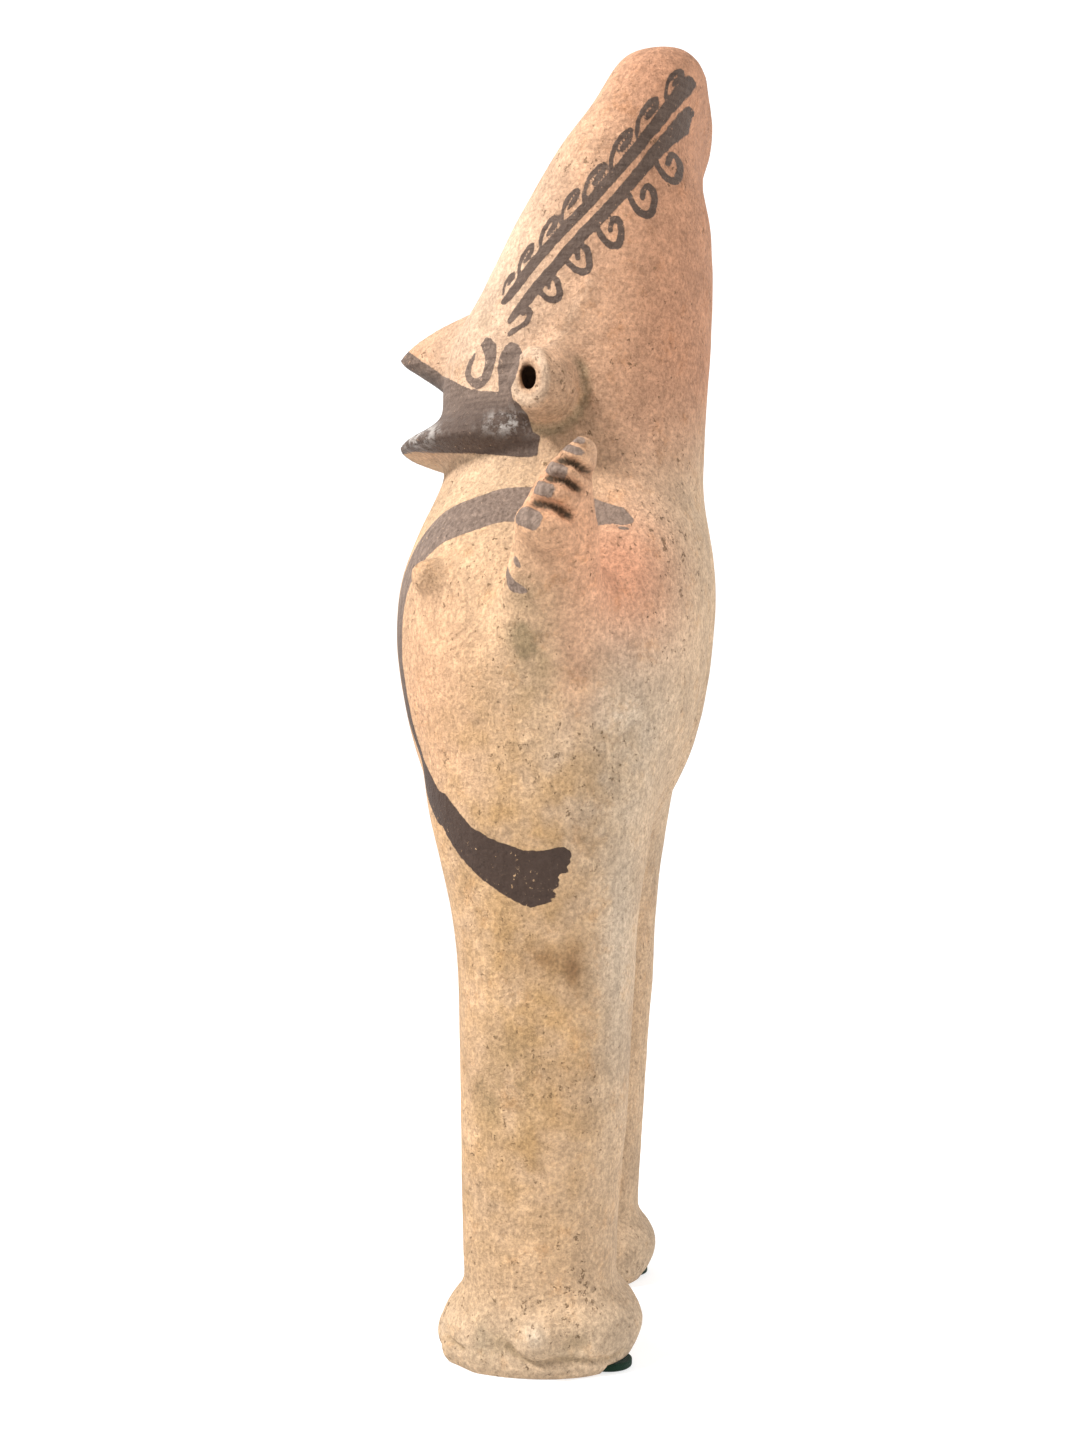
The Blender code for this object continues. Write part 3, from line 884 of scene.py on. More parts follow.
@dataclass(frozen=True)
class BodyBand:
    """A broad band on each side of the body: from behind the hand round the chest and down to the hip.

    Attributes:
        line: Middle of the band, each point with a half width.
        hip_end: Outline of its lower end.
        inner: Distance from the figure's middle where that end begins.
    """

    line: Rows = (
        (78, 31, 327, 5.5), (80, 22, 329.5, 7.5), (80, 12, 331, 10.0), (78, -11, 334, 10.3),
        (76, -24, 330, 10.5), (71, -36, 326, 10.3), (67, -45, 319, 10.0), (62, -53, 308, 9.5),
        (59, -58, 295, 9.0), (59, -60, 280, 8.5), (60, -59, 262, 8.0), (64, -56, 246, 7.4),
        (71, -50, 232, 6.6), (79, -41.5, 223, 6.2), (84, -35.5, 216, 6.2),
    )
    hip_end: Rows = (
        (-42.0, 225.0), (-32.5, 222.0), (-21.5, 209.9), (-13.9, 205.6), (-1.3, 201.3), (8.4, 201.0),
        (13.9, 202.1), (15.8, 198.0), (13.6, 192.6), (10.5, 186.9), (7.8, 181.9), (1.0, 179.0),
        (-7.8, 183.2), (-19.3, 190.8), (-27.8, 199.2), (-33.9, 208.1), (-39.5, 217.0),
    )

    inner: float = 60.0

    def edge(self, places: Array) -> Array:
        """Signed distance from the edge of the bands, with their two ends frayed as a brush leaves them.

        Args:
            places: Points in steps.

        Returns:
            The distance in steps, negative in the paint.
        """
        over = folded(places)
        edge = stroke_edge(over, curve_through(self.line, 4))
        blunt_end = patch_edge(over[:, 1:], np.array(self.hip_end))
        edge = np.minimum(edge, np.where(over[:, 0] > self.inner, blunt_end, FAR))
        along_brush = np.column_stack([over[:, 0] * 0, over[:, 1] * 0.25, over[:, 2]])
        fray = 2.4 * rough_field(along_brush, 1.5, 5) + 1.6 * rough_field(over, 4.0, 6)
        ends = lump_field(over, (95, 12, 190), (20, 9, 16)) + lump_field(over, (78, 35, 326), (20, 8, 12))
        return edge + fray * np.clip(ends, 0, 1)


@dataclass(frozen=True)
class NailPaint:
    """Grey paint on the front half of each finger end, and two strokes down the front of each arm.

    Attributes:
        nails: Place along the row of fingers, distance towards the back, and the two half sizes.
        strokes: The strokes, each point with a half width.
        inner: Distance from the figure's middle where the nails begin.
    """

    nails: Rows = (
        (21.8, 1.4, 1.5, 3.6), (17.6, 1.3, 1.5, 4.9), (8.9, -1.2, 2.5, 4.7), (0.8, -2.8, 2.6, 5.2),
        (-10.9, -3.2, 3.8, 5.2),
    )
    strokes: tuple[Rows, ...] = (
        ((119, -3.6, 314, 0.4), (118, -3.0, 311, 0.8), (117, -1.2, 307.5, 1.2), (117, 0.4, 305.6, 0.5)),
        (
            (112, -5.4, 309, 0.4),
            (113, -5.0, 304, 1.2),
            (114, -3.0, 299.6, 2.2),
            (115, 0.6, 297.6, 1.5),
            (115, 3.2, 297, 0.5),
        ),
    )
    inner: float = 120.0

    def edge(self, places: Array, arms: Arms) -> Array:
        """Signed distance from the edge of this paint.

        Args:
            places: Points in steps.
            arms: The arms that it is on.

        Returns:
            The distance in steps, negative in the paint.
        """
        along, behind, out = arms.across_hand(places)
        edge = np.full(len(places), FAR)
        for at, middle, half_along, half_behind in self.nails:
            shape = np.abs((along - at) / half_along) ** 3 + np.abs((behind - middle) / half_behind) ** 3
            edge = np.minimum(edge, (np.cbrt(shape) - 1) * half_along)
        edge = np.where(out > self.inner, edge, FAR)
        over = folded(places)
        for stroke in self.strokes:
            edge = np.minimum(edge, stroke_edge(over, curve_through(stroke)))
        return edge


class Tint(Enum):
    """Colours of the slip and the clay, in linear light."""

    CREAM = (0.48, 0.315, 0.185)
    PINK = (0.47, 0.27, 0.165)
    ROSE = (0.41, 0.20, 0.115)
    ORANGE = (0.50, 0.25, 0.14)
    BLUSH = (0.64, 0.30, 0.175)
    OCHRE = (0.40, 0.24, 0.105)
    OLIVE = (0.26, 0.185, 0.105)
    BROWN = (0.22, 0.115, 0.05)
    PALE = (0.50, 0.40, 0.30)
    GREY = (0.42, 0.34, 0.25)
    GRIME_AND_SHADE = (0.045, 0.033, 0.02)
    INSIDE = (0.035, 0.017, 0.008)


@dataclass(frozen=True)
class Spot:
    """A soft patch of one tint.

    Attributes:
        tint: Its colour.
        centre: Its middle, in steps.
        size: Its half sizes, in steps.
        strength: How much of the tint shows at the middle.
        both: Whether the other side has one too.
    """

    tint: Tint
    centre: Place
    size: Place
    strength: float
    both: bool = True

    def share(self, places: Array) -> Array:
        """How much of the tint shows at each place."""
        across = np.abs(places[:, :1]) if self.both else places[:, :1]
        share = self.strength * lump_field(np.hstack([across, places[:, 1:]]), self.centre, self.size)
        if self.tint in (Tint.BROWN, Tint.OLIVE, Tint.OCHRE):
            patches = 0.75 + 1.1 * rough_field(places, 9.0, 51) + 0.8 * rough_field(places, 4.0, 52)
            share = share * np.clip(patches, 0.1, 1.7)
        return share


@dataclass(frozen=True)
class SlipAndShading:
    """The coloured slip over the clay: cream below, pinker up the head, stains, blushes, painted shade and
    highlights.
    """

    spots: tuple[Spot, ...] = (
        Spot(Tint.PALE, (40, -22, 440), (50, 30, 90), 0.55),
        # painted shadow below and behind each ear lug
        Spot(Tint.OLIVE, (68, 15, 368), (14, 7, 4.5), 0.55),
        # painted shade: a thin dark line along the back edge of each arm, below the hand
        Spot(Tint.GRIME_AND_SHADE, (100, 25, 314), (26, 1.2, 7), 0.35),
        # painted highlight on the top of each ankle knob, and painted shadow in a crescent below it
        Spot(Tint.PALE, (96, 2, 18), (10, 4.5, 4.5), 0.7),
        Spot(Tint.OLIVE, (92, 11, 9.5), (12, 6, 2.5), 0.7),
        Spot(Tint.OLIVE, (80, -18, 14), (14, 5, 8), 0.6),
        # painted shade on the back side of each nipple
        Spot(Tint.OLIVE, (84, -36, 302), (12, 4, 5), 0.35),
        Spot(Tint.PALE, (92, 36, 250), (30, 30, 44), 0.75),
        Spot(Tint.BLUSH, (98, 38, 308), (36, 25, 30), 0.95),
        Spot(Tint.ORANGE, (122, 14, 330), (16, 18, 26), 0.8),
        Spot(Tint.ORANGE, (108, 20, 268), (18, 9, 22), 0.5),
        Spot(Tint.ORANGE, (80, -40, 262), (40, 28, 50), 0.45),
        Spot(Tint.OLIVE, (109, 2, 278), (16, 9, 20), 0.8),
        Spot(Tint.OCHRE, (100, -6, 215), (30, 60, 44), 0.5),
        Spot(Tint.OCHRE, (96, -4, 150), (26, 40, 44), 0.6),
        Spot(Tint.OCHRE, (90, -8, 90), (24, 30, 40), 0.6),
        Spot(Tint.OCHRE, (70, -40, 60), (30, 14, 60), 0.4),
        Spot(Tint.OLIVE, (90, -14, 110), (20, 16, 20), 0.4),
        Spot(Tint.BROWN, (96, 4, 160), (14, 8, 6), 0.55),
        Spot(Tint.BROWN, (94, 17, 156), (14, 5, 10), 0.65),
        Spot(Tint.BROWN, (-60, 30, 160), (20, 20, 16), 0.45, False),
        # painted highlight along the back edge of each leg, as from a light behind
        Spot(Tint.PALE, (80, 34, 165), (20, 9, 60), 0.8),
        Spot(Tint.GREY, (60, 0, 8), (60, 60, 20), 0.5),
        Spot(Tint.PINK, (92, -34, 130), (22, 12, 45), 0.35),
        Spot(Tint.ROSE, (70, 40, 360), (30, 30, 30), 0.4),
    )

    def colour(self, places: Array, arms: Arms, head: Head, legs: Legs) -> Array:
        """The slip's colour at each place.

        Args:
            places: Points in steps.
            arms: The arms, whose grooves get dirt and painted shade.
            head: The head; painted shade goes inside its ear holes and its hollows, highlights on its high
                places.
            legs: The legs; painted shade goes in their hollows, and painted highlights on their high places.

        Returns:
            One linear colour for each place.
        """
        uneven = 14 * rough_field(places, 40, 21)
        up = ramp(places[:, 2] + uneven, 330, 400)
        back = ramp(places[:, 1] + uneven, 5, 52)
        layers = [(Tint.PINK, up * 0.75), (Tint.ROSE, up * back * 0.85)]
        layers.append((Tint.PALE, (1 - up) * back * 0.35))
        layers += [(spot.tint, spot.share(places)) for spot in self.spots]
        relief = head.relief(places) + legs.relief(places)
        # painted shade: olive where the relief of head and legs dips into hollows
        layers.append((Tint.OLIVE, 0.75 * ramp(-relief, 0.5, 2.0)))
        # painted highlight: pale where that relief rises
        layers.append((Tint.PALE, 0.35 * ramp(relief, 0.4, 1.8)))
        # dirt and painted shade: near black in the grooves between the fingers
        layers.append((Tint.GRIME_AND_SHADE, 0.92 * ramp(arms.groove_field(places), 1.6, 3.4)))
        # painted shade: near black on the walls inside each ear hole
        inside = ramp(head.from_hole(places, head.ear_hole[1:]), 1.08, 0.95)
        layers.append((Tint.INSIDE, inside * ramp(np.abs(places[:, 0]), 75.5, 72.0)))
        colour = np.tile(np.array(Tint.CREAM.value), (len(places), 1))
        for tint, share in layers:
            share = np.clip(share, 0, 1)[:, None]
            colour = colour * (1 - share) + np.array(tint.value) * share
        return colour


class Sheet:
    """A material's node tree, with one short method for each kind of node."""

    def __init__(self, name: str) -> None:
        """Makes an empty material with one shader.

        Args:
            name: The material's name.
        """
        self.material = bpy.data.materials.new(name)
        self.material.use_nodes = True
        self.nodes = self.material.node_tree.nodes
        self.shader = self.nodes["Principled BSDF"]
        self.place = self.nodes.new("ShaderNodeTexCoord").outputs["Object"]

    def link(self, source: Socket, target: Socket) -> None:
        """Joins two sockets."""
        self.material.node_tree.links.new(source, target)

    def put(self, target: Socket, value: object) -> None:
        """Gives a socket another node's output, or a fixed value."""
        if isinstance(value, Socket):
            self.link(value, target)
        else:
            target.default_value = value

    def stored(self, name: str, output: str = "Fac") -> Socket:
        """What the mesh keeps under a name."""
        node = self.nodes.new("ShaderNodeAttribute")
        node.attribute_name = name
        return node.outputs[output]

    def sums(self, operation: str, *values: object, clamp: bool = False) -> Socket:
        """One sum on numbers."""
        node = self.nodes.new("ShaderNodeMath")
        node.operation = operation
        node.use_clamp = clamp
        for target, value in zip(node.inputs, values):
            self.put(target, value)
        return node.outputs[0]

    def blend(self, share: object, first: object, second: object, mode: str = "MIX") -> Socket:
        """A mix of two colours."""
        node = self.nodes.new("ShaderNodeMix")
        node.data_type = "RGBA"
        node.blend_type = mode
        self.put(node.inputs["Factor"], share)
        self.put(node.inputs["A"], (*first, 1.0) if isinstance(first, tuple) else first)
        self.put(node.inputs["B"], (*second, 1.0) if isinstance(second, tuple) else second)
        return node.outputs["Result"]

    def times(self, first: object, second: object) -> Socket:
        """The product of two numbers."""
        return self.sums("MULTIPLY", first, second)

    def plus(self, first: object, second: object) -> Socket:
        """The sum of two numbers."""
        return self.sums("ADD", first, second)

    def less(self, first: object, second: object) -> Socket:
        """What is left of the first number without the second."""
        return self.sums("SUBTRACT", first, second)

    def noise(
        self, scale: float, detail: float = 3.0, stretch: Place = (1, 1, 1), rough: float = 0.55
    ) -> Socket:
        """Cloudy noise over the object.

        Args:
            scale: Clouds in a metre, about.
            detail: Finer layers.
            stretch: Small along the axes where the clouds are long.
            rough: Strength of the finer layers.

        Returns:
            A number from 0 to 1.
        """
        mapping = self.nodes.new("ShaderNodeMapping")
        mapping.inputs["Scale"].default_value = stretch
        self.link(self.place, mapping.inputs["Vector"])
        node = self.nodes.new("ShaderNodeTexNoise")
        node.inputs["Scale"].default_value = scale
        node.inputs["Detail"].default_value = detail
        node.inputs["Roughness"].default_value = rough
        self.link(mapping.outputs["Vector"], node.inputs["Vector"])
        return node.outputs["Fac"]

    def span(
        self, value: object, low: float, high: float, start: float = 0.0, end: float = 1.0
    ) -> Socket:
        """A number carried smoothly from one range to another.

        Args:
            value: The number.
            low: Where the first range starts.
            high: Where it ends.
            start: Result at its start.
            end: Result at its end.

        Returns:
            The new number.
        """
        node = self.nodes.new("ShaderNodeMapRange")
        node.interpolation_type = "SMOOTHSTEP"
        for name, number in (("From Min", low), ("From Max", high), ("To Min", start), ("To Max", end)):
            node.inputs[name].default_value = number
        self.put(node.inputs["Value"], value)
        return node.outputs["Result"]

    def bump(self, height: Socket, depth: float, below: Socket | None = None) -> Socket:
        """Fine relief.

        Args:
            height: Height as a number.
            depth: Metres that 1 stands for.
            below: What another relief gave, to lie on top of it.

        Returns:
            The directions that the surface faces.
        """
        node = self.nodes.new("ShaderNodeBump")
        node.inputs["Strength"].default_value = 1.0
        node.inputs["Distance"].default_value = depth
        self.link(height, node.inputs["Height"])
        if below is not None:
            self.link(below, node.inputs["Normal"])
        return node.outputs["Normal"]


@dataclass(frozen=True)
class ClayFinish:
    """Brushed slip on fired clay, with dark paint on it: pores, brush lines, ragged edges and wear.

    Attributes:
        paint_dark, paint_light: The paint at its thickest, and where it is thin and pale.
        rubbed_pale: The bloom on polished paint.
        pore, grit: Small dark pits, and grains in the clay.
        stain: Tint of the cloudy stains.
        head_starts: Heights between which the brush lines turn from upright to level, in metres.
        upright, level: Stretch of the brush lines on the body and on the head.
        clay_rough, paint_rough: Roughness of the two.
        polish: How much smoother rubbed paint is.
    """

    paint_dark: Colour = (0.040, 0.022, 0.015)
    paint_light: Colour = (0.235, 0.165, 0.125)
    rubbed_pale: Colour = (0.50, 0.46, 0.42)
    pore: Colour = (0.13, 0.075, 0.035)
    stain: Colour = (0.86, 0.74, 0.60)
    grit: Colour = (0.17, 0.10, 0.05)
    head_starts: tuple[float, float] = (0.345, 0.375)
    upright: Place = (620, 620, 42)
    level: Place = (60, 60, 640)
    clay_rough: float = 0.78
    paint_rough: float = 0.62
    polish: float = 0.22

    def material(self) -> bpy.types.Material:
        """The finished material."""
        sheet = Sheet("slipped_clay")
        lines = self.brush_lines(sheet)
        cloud = sheet.noise(38.0, 5.0, rough=0.62)
        grain = sheet.noise(640.0, 4.0, rough=0.7)
        crowded = sheet.plus(sheet.noise(330.0, 3.0, rough=0.75), sheet.times(sheet.noise(22.0, 2.0), 0.30))
        speck = sheet.span(crowded, 0.795, 0.845)
        clay = self.clay(sheet, lines, cloud, grain, speck)
        covered, colour = self.paint(sheet, lines, cloud, grain)
        sheet.link(sheet.blend(covered, clay, colour), sheet.shader.inputs["Base Color"])
        polished = sheet.times(sheet.times(sheet.stored("rubbed"), covered), self.polish)
        rough = sheet.span(covered, 0, 1, self.clay_rough, self.paint_rough)
        sheet.link(sheet.less(rough, polished), sheet.shader.inputs["Roughness"])
        relief = sheet.bump(sheet.noise(130.0, 5.0, rough=0.6), 0.0020)
        relief = sheet.bump(lines, 0.0002, relief)
        relief = sheet.bump(grain, 0.0008, relief)
        relief = sheet.bump(sheet.less(covered, sheet.times(speck, 3.0)), 0.00012, relief)
        sheet.link(relief, sheet.shader.inputs["Normal"])
        sheet.shader.inputs["Specular IOR Level"].default_value = 0.2
        return sheet.material

    def brush_lines(self, sheet: Sheet) -> Socket:
        """Fine brush lines, upright on the body and level on the head."""
        height = sheet.nodes.new("ShaderNodeSeparateXYZ")
        sheet.link(sheet.place, height.inputs[0])
        on_head = sheet.span(height.outputs["Z"], *self.head_starts)
        upright = sheet.noise(1.0, 3.0, self.upright)
        level = sheet.noise(1.0, 3.0, self.level)
        return sheet.plus(upright, sheet.times(on_head, sheet.less(level, upright)))

    def clay(self, sheet: Sheet, lines: Socket, cloud: Socket, grain: Socket, speck: Socket) -> Socket:
        """Colour of the bare slip.

        Args:
            sheet: The node tree.
            lines: Brush lines.
            cloud: Broad noise.
            grain: Fine noise.
            speck: 1 in the pits.

        Returns:
            The stored tint made uneven, stained, gritty and pitted.
        """
        tone = sheet.span(cloud, 0.28, 0.72, 0.86, 1.12)
        tone = sheet.times(tone, sheet.span(lines, 0.3, 0.7, 0.94, 1.05))
        tone = sheet.times(tone, sheet.span(grain, 0.3, 0.7, 0.72, 1.2))
        tone = sheet.times(tone, sheet.span(sheet.noise(170.0, 4.0, rough=0.7), 0.3, 0.7, 0.88, 1.10))
        stain = sheet.span(sheet.noise(75.0, 6.0, rough=0.75), 0.52, 0.7, 0.0, 0.6)
        slip_and_shading = sheet.blend(stain, sheet.stored("slip_and_shading", "Color"), self.stain, "MULTIPLY")
        shade = sheet.nodes.new("ShaderNodeVectorMath")
        shade.operation = "SCALE"
        sheet.link(slip_and_shading, shade.inputs[0])
        sheet.link(tone, shade.inputs["Scale"])
        clay = sheet.blend(sheet.times(speck, 0.7), shade.outputs[0], self.pore)
        grit = sheet.span(sheet.noise(540.0, 2.0, rough=0.8), 0.62, 0.72, 0.0, 0.5)
        return sheet.blend(grit, clay, self.grit)

    def paint(self, sheet: Sheet, lines: Socket, cloud: Socket, grain: Socket) -> tuple[Socket, Socket]:
        """Where the dark paint lies, and its colour there.

        Args:
            sheet: The node tree.
            lines: Brush lines.
            cloud: Broad noise.
            grain: Fine noise.

        Returns:
            The share that is covered, and the colour.
        """
        ragged = sheet.times(sheet.less(sheet.noise(330.0, 3.0), 0.5), 1.3)
        covered = sheet.span(sheet.plus(sheet.stored("painted"), ragged), 0.22, -0.22)
        losses = sheet.span(sheet.plus(grain, sheet.times(cloud, 0.35)), 0.84, 0.90)
        covered = sheet.times(covered, sheet.less(1.0, sheet.times(losses, 0.8)))
        mottle = sheet.span(lines, 0.25, 0.75, 0.6, 1.35)
        mottle = sheet.times(mottle, sheet.span(grain, 0.3, 0.7, 0.7, 1.3))
        light = sheet.sums("MULTIPLY", sheet.stored("paint_paleness"), mottle, clamp=True)
        colour = sheet.blend(light, self.paint_dark, self.paint_light)
        bloom = sheet.span(sheet.noise(190.0, 4.0, rough=0.7), 0.45, 0.62)
        worn = sheet.times(sheet.times(sheet.stored("rubbed"), bloom), 0.85)
        return covered, sheet.blend(worn, colour, self.rubbed_pale)


@dataclass
class ClayFigure:
    """The whole clay figure: one piece, from its lumps to its painted surface.

    Attributes:
        step: Metres in a step.
        head, arms, legs: The shaped parts.
        stripes, face, band, nails: The painted shapes.
        slip, finish: The colour of the clay with its painted shade and highlights, and its material.
        body_grain, grain: Widths of the cells that the large lumps and then all lumps are run together in.
        body_smoothing, smoothing: Rounds of smoothing after each.
        unevenness: Width and height of the swellings that hands leave in clay.
        felt_diameter, felt_thickness: Size of a heel pad, in metres.
        heel: How far back a heel reaches.
        pads_outward: How far outward the left and the right pad lie from the leg's middle.
        paint_margin: Distance to each side of a painted edge where the faces are split.
    """

    step: float
    head: Head = field(default_factory=Head)
    arms: Arms = field(default_factory=Arms)
    legs: Legs = field(default_factory=Legs)
    stripes: HeadStripes = field(default_factory=HeadStripes)
    face: FacePaint = field(default_factory=FacePaint)
    band: BodyBand = field(default_factory=BodyBand)
    nails: NailPaint = field(default_factory=NailPaint)
    slip_and_shading: SlipAndShading = field(default_factory=SlipAndShading)
    finish: ClayFinish = field(default_factory=ClayFinish)
    body_grain: float = 3.5
    body_smoothing: int = 22
    grain: float = 2.0
    smoothing: int = 5
    unevenness: Rows = ((46.0, 0.55), (19.0, 0.28), (8.0, 0.12))
    felt_diameter: float = 0.019
    felt_thickness: float = 0.003
    heel: float = 37.0
    pads_outward: tuple[float, float] = (12.0, 2.0)
    paint_margin: float = 2.6

    def in_metres(self, *lumps: list[Array]) -> list[Array]:
        """The rings of several lists of lumps, in metres."""
        return [rings * self.step for part in lumps for rings in part]

    def build(self) -> bpy.types.Object:
        """Builds, works and dresses the clay.

        Returns:
            The finished piece.
        """
        bodies = self.in_metres(self.head.body(), self.legs.body(), self.arms.body())
        details = self.in_metres(self.head.details(), self.legs.details(), self.arms.details())
        piece = new_piece("slipped_clay_figure", closed_mesh("clay", bodies))
        press_together(piece, self.body_grain * self.step, self.body_smoothing)
        piece.data = joined(piece.data, closed_mesh("details", details))
        press_together(piece, self.grain * self.step, 2)
        take_away(piece, self.in_metres(self.head.cuts()))
        press_together(piece, self.grain * self.step, self.smoothing)
        self.refine(piece.data)
        self.sculpt(piece.data)
        take_away(piece, self.sole_cuts())
        self.dress(piece)
        return piece

    def refine(self, mesh: bpy.types.Mesh) -> None:
        """Splits the faces along every painted edge, and where the relief is finest."""
        places = points_of(mesh) / self.step
        along, _, out = self.arms.across_hand(places)
        hands = (out > 112) & (along > -22)
        ears = lump_field(folded(places), (74, 2, 381), (12, 20, 22)) > 0.37
        outer_foot = (places[:, 2] < 30) & (places[:, 0] > 40)
        painted_edges = np.abs(self.painted(places)) < self.paint_margin
        work_finer(mesh, painted_edges | hands | ears | outer_foot)

    def sculpt(self, mesh: bpy.types.Mesh) -> None:
        """Moves the surface along its normals by the parts' relief and by the unevenness of hand work."""
        places = points_of(mesh) / self.step
        rise = self.head.relief(places) + self.arms.relief(places) + self.legs.relief(places)
        for number, (size, height) in enumerate(self.unevenness):
            rise += height * rough_field(places, size, 31 + number)
        move_points(mesh, (places + normals_of(mesh) * rise[:, None]) * self.step)

    def sole_cuts(self) -> list[Array]:
        """A block below the ground, and a slot in each heel, a little larger than its felt pad."""
        half = self.felt_diameter / 2 + 0.0015
        deep = self.felt_thickness + 0.0003
        cuts = [box_rings((-0.3, -0.3, -0.1), (0.3, 0.3, 0.0))]
        for side in SIDES.values():
            x = side * (self.legs.apart + self.pads_outward[0 if side > 0 else 1]) * self.step
            middle = (self.heel + self.legs.foot_shift(side)) * self.step - self.felt_diameter / 2
            cuts.append(box_rings((x - half, middle - half, -0.01), (x + half, 0.2, deep)))
        return cuts

    def painted(self, places: Array) -> Array:
        """Signed distance from the nearest painted edge, in steps, negative in the paint."""
        edges = [shape.edge(places) for shape in (self.stripes, self.face, self.band)]
        edges.append(self.nails.edge(places, self.arms))
        return np.clip(np.min(edges, axis=0), -FAR, FAR)

    def paint_paleness(self, places: Array) -> Array:
        """How pale the paint is: least at the hip and growing up the chest, more on the face, most on the
        nails.
        """
        level = places[:, 2]
        chest = 0.06 + 0.6 * ramp(level, 235, 320) + 0.3 * ramp(places[:, 1], 14, 24)
        face = 0.22 + 0.28 * ramp(level, 366, 384)
        nails = 0.75 * ramp(np.abs(places[:, 0]), 108, 114)
        return np.maximum(np.where(level > 345, face - 0.26 * ramp(level, 400, 412), chest), nails)

    def dress(self, piece: bpy.types.Object) -> None:
        """Gives the clay its slip, paint, wear and material."""
        mesh = piece.data
        places = points_of(mesh) / self.step
        store_number(mesh, "painted", self.painted(places))
        store_number(mesh, "rubbed", self.face.rubbed(places))
        store_number(mesh, "paint_paleness", self.paint_paleness(places))
        store_colour(mesh, "slip_and_shading", self.slip_and_shading.colour(places, self.arms, self.head, self.legs))
        mesh.materials.clear()
        mesh.materials.append(self.finish.material())
        mesh.shade_smooth()
        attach(piece, "root")
        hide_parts("cuchimilco_figure")


def box_rings(low: Place, high: Place) -> Array:
    """A block as two four-cornered rings, one above the other."""
    across = np.array([low[0], high[0], high[0], low[0]])
    along = np.array([low[1], low[1], high[1], high[1]])
    return np.array([np.stack([across, along, np.full(4, level)], axis=-1) for level in (low[2], high[2])])


@dataclass(frozen=True)
class FeltFinish:
    """Dark green felt: short matted fibres with a dull sheen."""

    dark: Colour = (0.002, 0.009, 0.005)
    light: Colour = (0.012, 0.040, 0.022)

    def material(self) -> bpy.types.Material:
        """The finished material."""
        sheet = Sheet("green_felt")
        fibres = sheet.noise(1500.0, 4.0, (1, 1, 2.5), rough=0.75)
        sheet.link(sheet.blend(fibres, self.dark, self.light), sheet.shader.inputs["Base Color"])
        sheet.shader.inputs["Roughness"].default_value = 0.95
        sheet.shader.inputs["Sheen Weight"].default_value = 0.1
        sheet.shader.inputs["Specular IOR Level"].default_value = 0.1
        sheet.link(sheet.bump(fibres, 0.0004), sheet.shader.inputs["Normal"])
        return sheet.material


@dataclass(frozen=True)
class FeltPad:
    """One round felt pad under a heel, with a softly rounded rim.

    Attributes:
        side: "left" or "right".
        finish: The felt.
        round_off: Radius of the rim, in metres.
        hub: Radius of the small face in the middle of each side, in metres.
        waver: How much the cut edge wavers, as a share of the radius.
    """

    side: str
    finish: bpy.types.Material
    round_off: float = 0.0008
    hub: float = 0.0005
    waver: float = 0.006

    def build(self) -> bpy.types.Object:
        """Builds the pad in the box of its CAD node.

        The profile runs from the middle of the underside round the rim to the middle of the top, and is
        carried round a circle whose radius wavers a little, as a cut edge does.

        Returns:
            The finished piece.
        """
        low, high = (np.array(corner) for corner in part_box(f"{self.side}_heel_felt"))
        radius, thick = (high[0] - low[0]) / 2, high[2] - low[2]
        turn = np.linspace(0, 2 * math.pi, 72, endpoint=False)
        corner = np.linspace(0, math.pi / 2, 6)
        inset = radius - self.round_off
        sine, cosine = self.round_off * np.sin(corner), self.round_off * np.cos(corner)
        out = np.concatenate([[self.hub], inset + sine, inset + cosine, [self.hub]])[:, None]
        out = out * (1 - self.waver * (1 + np.sin(9 * turn) * np.sin(4 * turn + 1)))
        up = np.concatenate([[0.0], self.round_off - cosine, thick - self.round_off + sine, [thick]])
        x, y, _ = (low + high) / 2
        z = low[2] + up[:, None] * np.ones_like(turn)
        rings = np.stack([x + out * np.cos(turn), y + out * np.sin(turn), z], axis=-1)
        piece = new_piece(f"{self.side}_felt_pad", closed_mesh("felt", [rings]))
        piece.data.materials.append(self.finish)
        piece.data.shade_smooth()
        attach(piece, "root")
        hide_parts(f"{self.side}_heel_felt")
        return piece


@dataclass(frozen=True)
class Lamp:
    """One soft square lamp.

    Attributes:
        name: Its name.
        place: Where it stands, in metres.
        aim: The point it faces.
        power: Its power in watts.
        width: Its width in metres.
    """

    name: str
    place: Place
    aim: Place
    power: float
    width: float

    def build(self) -> None:
        """Puts the lamp into the scene."""
        data = bpy.data.lights.new(self.name, "AREA")
        data.energy = self.power
        data.size = self.width
        lamp = bpy.data.objects.new(self.name, data)
        lamp.location = self.place
        x, y, z = np.array(self.place) - np.array(self.aim)
        lamp.rotation_euler = (math.atan2(math.hypot(x, y), z), 0.0, math.atan2(x, -y))
        bpy.context.scene.collection.objects.link(lamp)


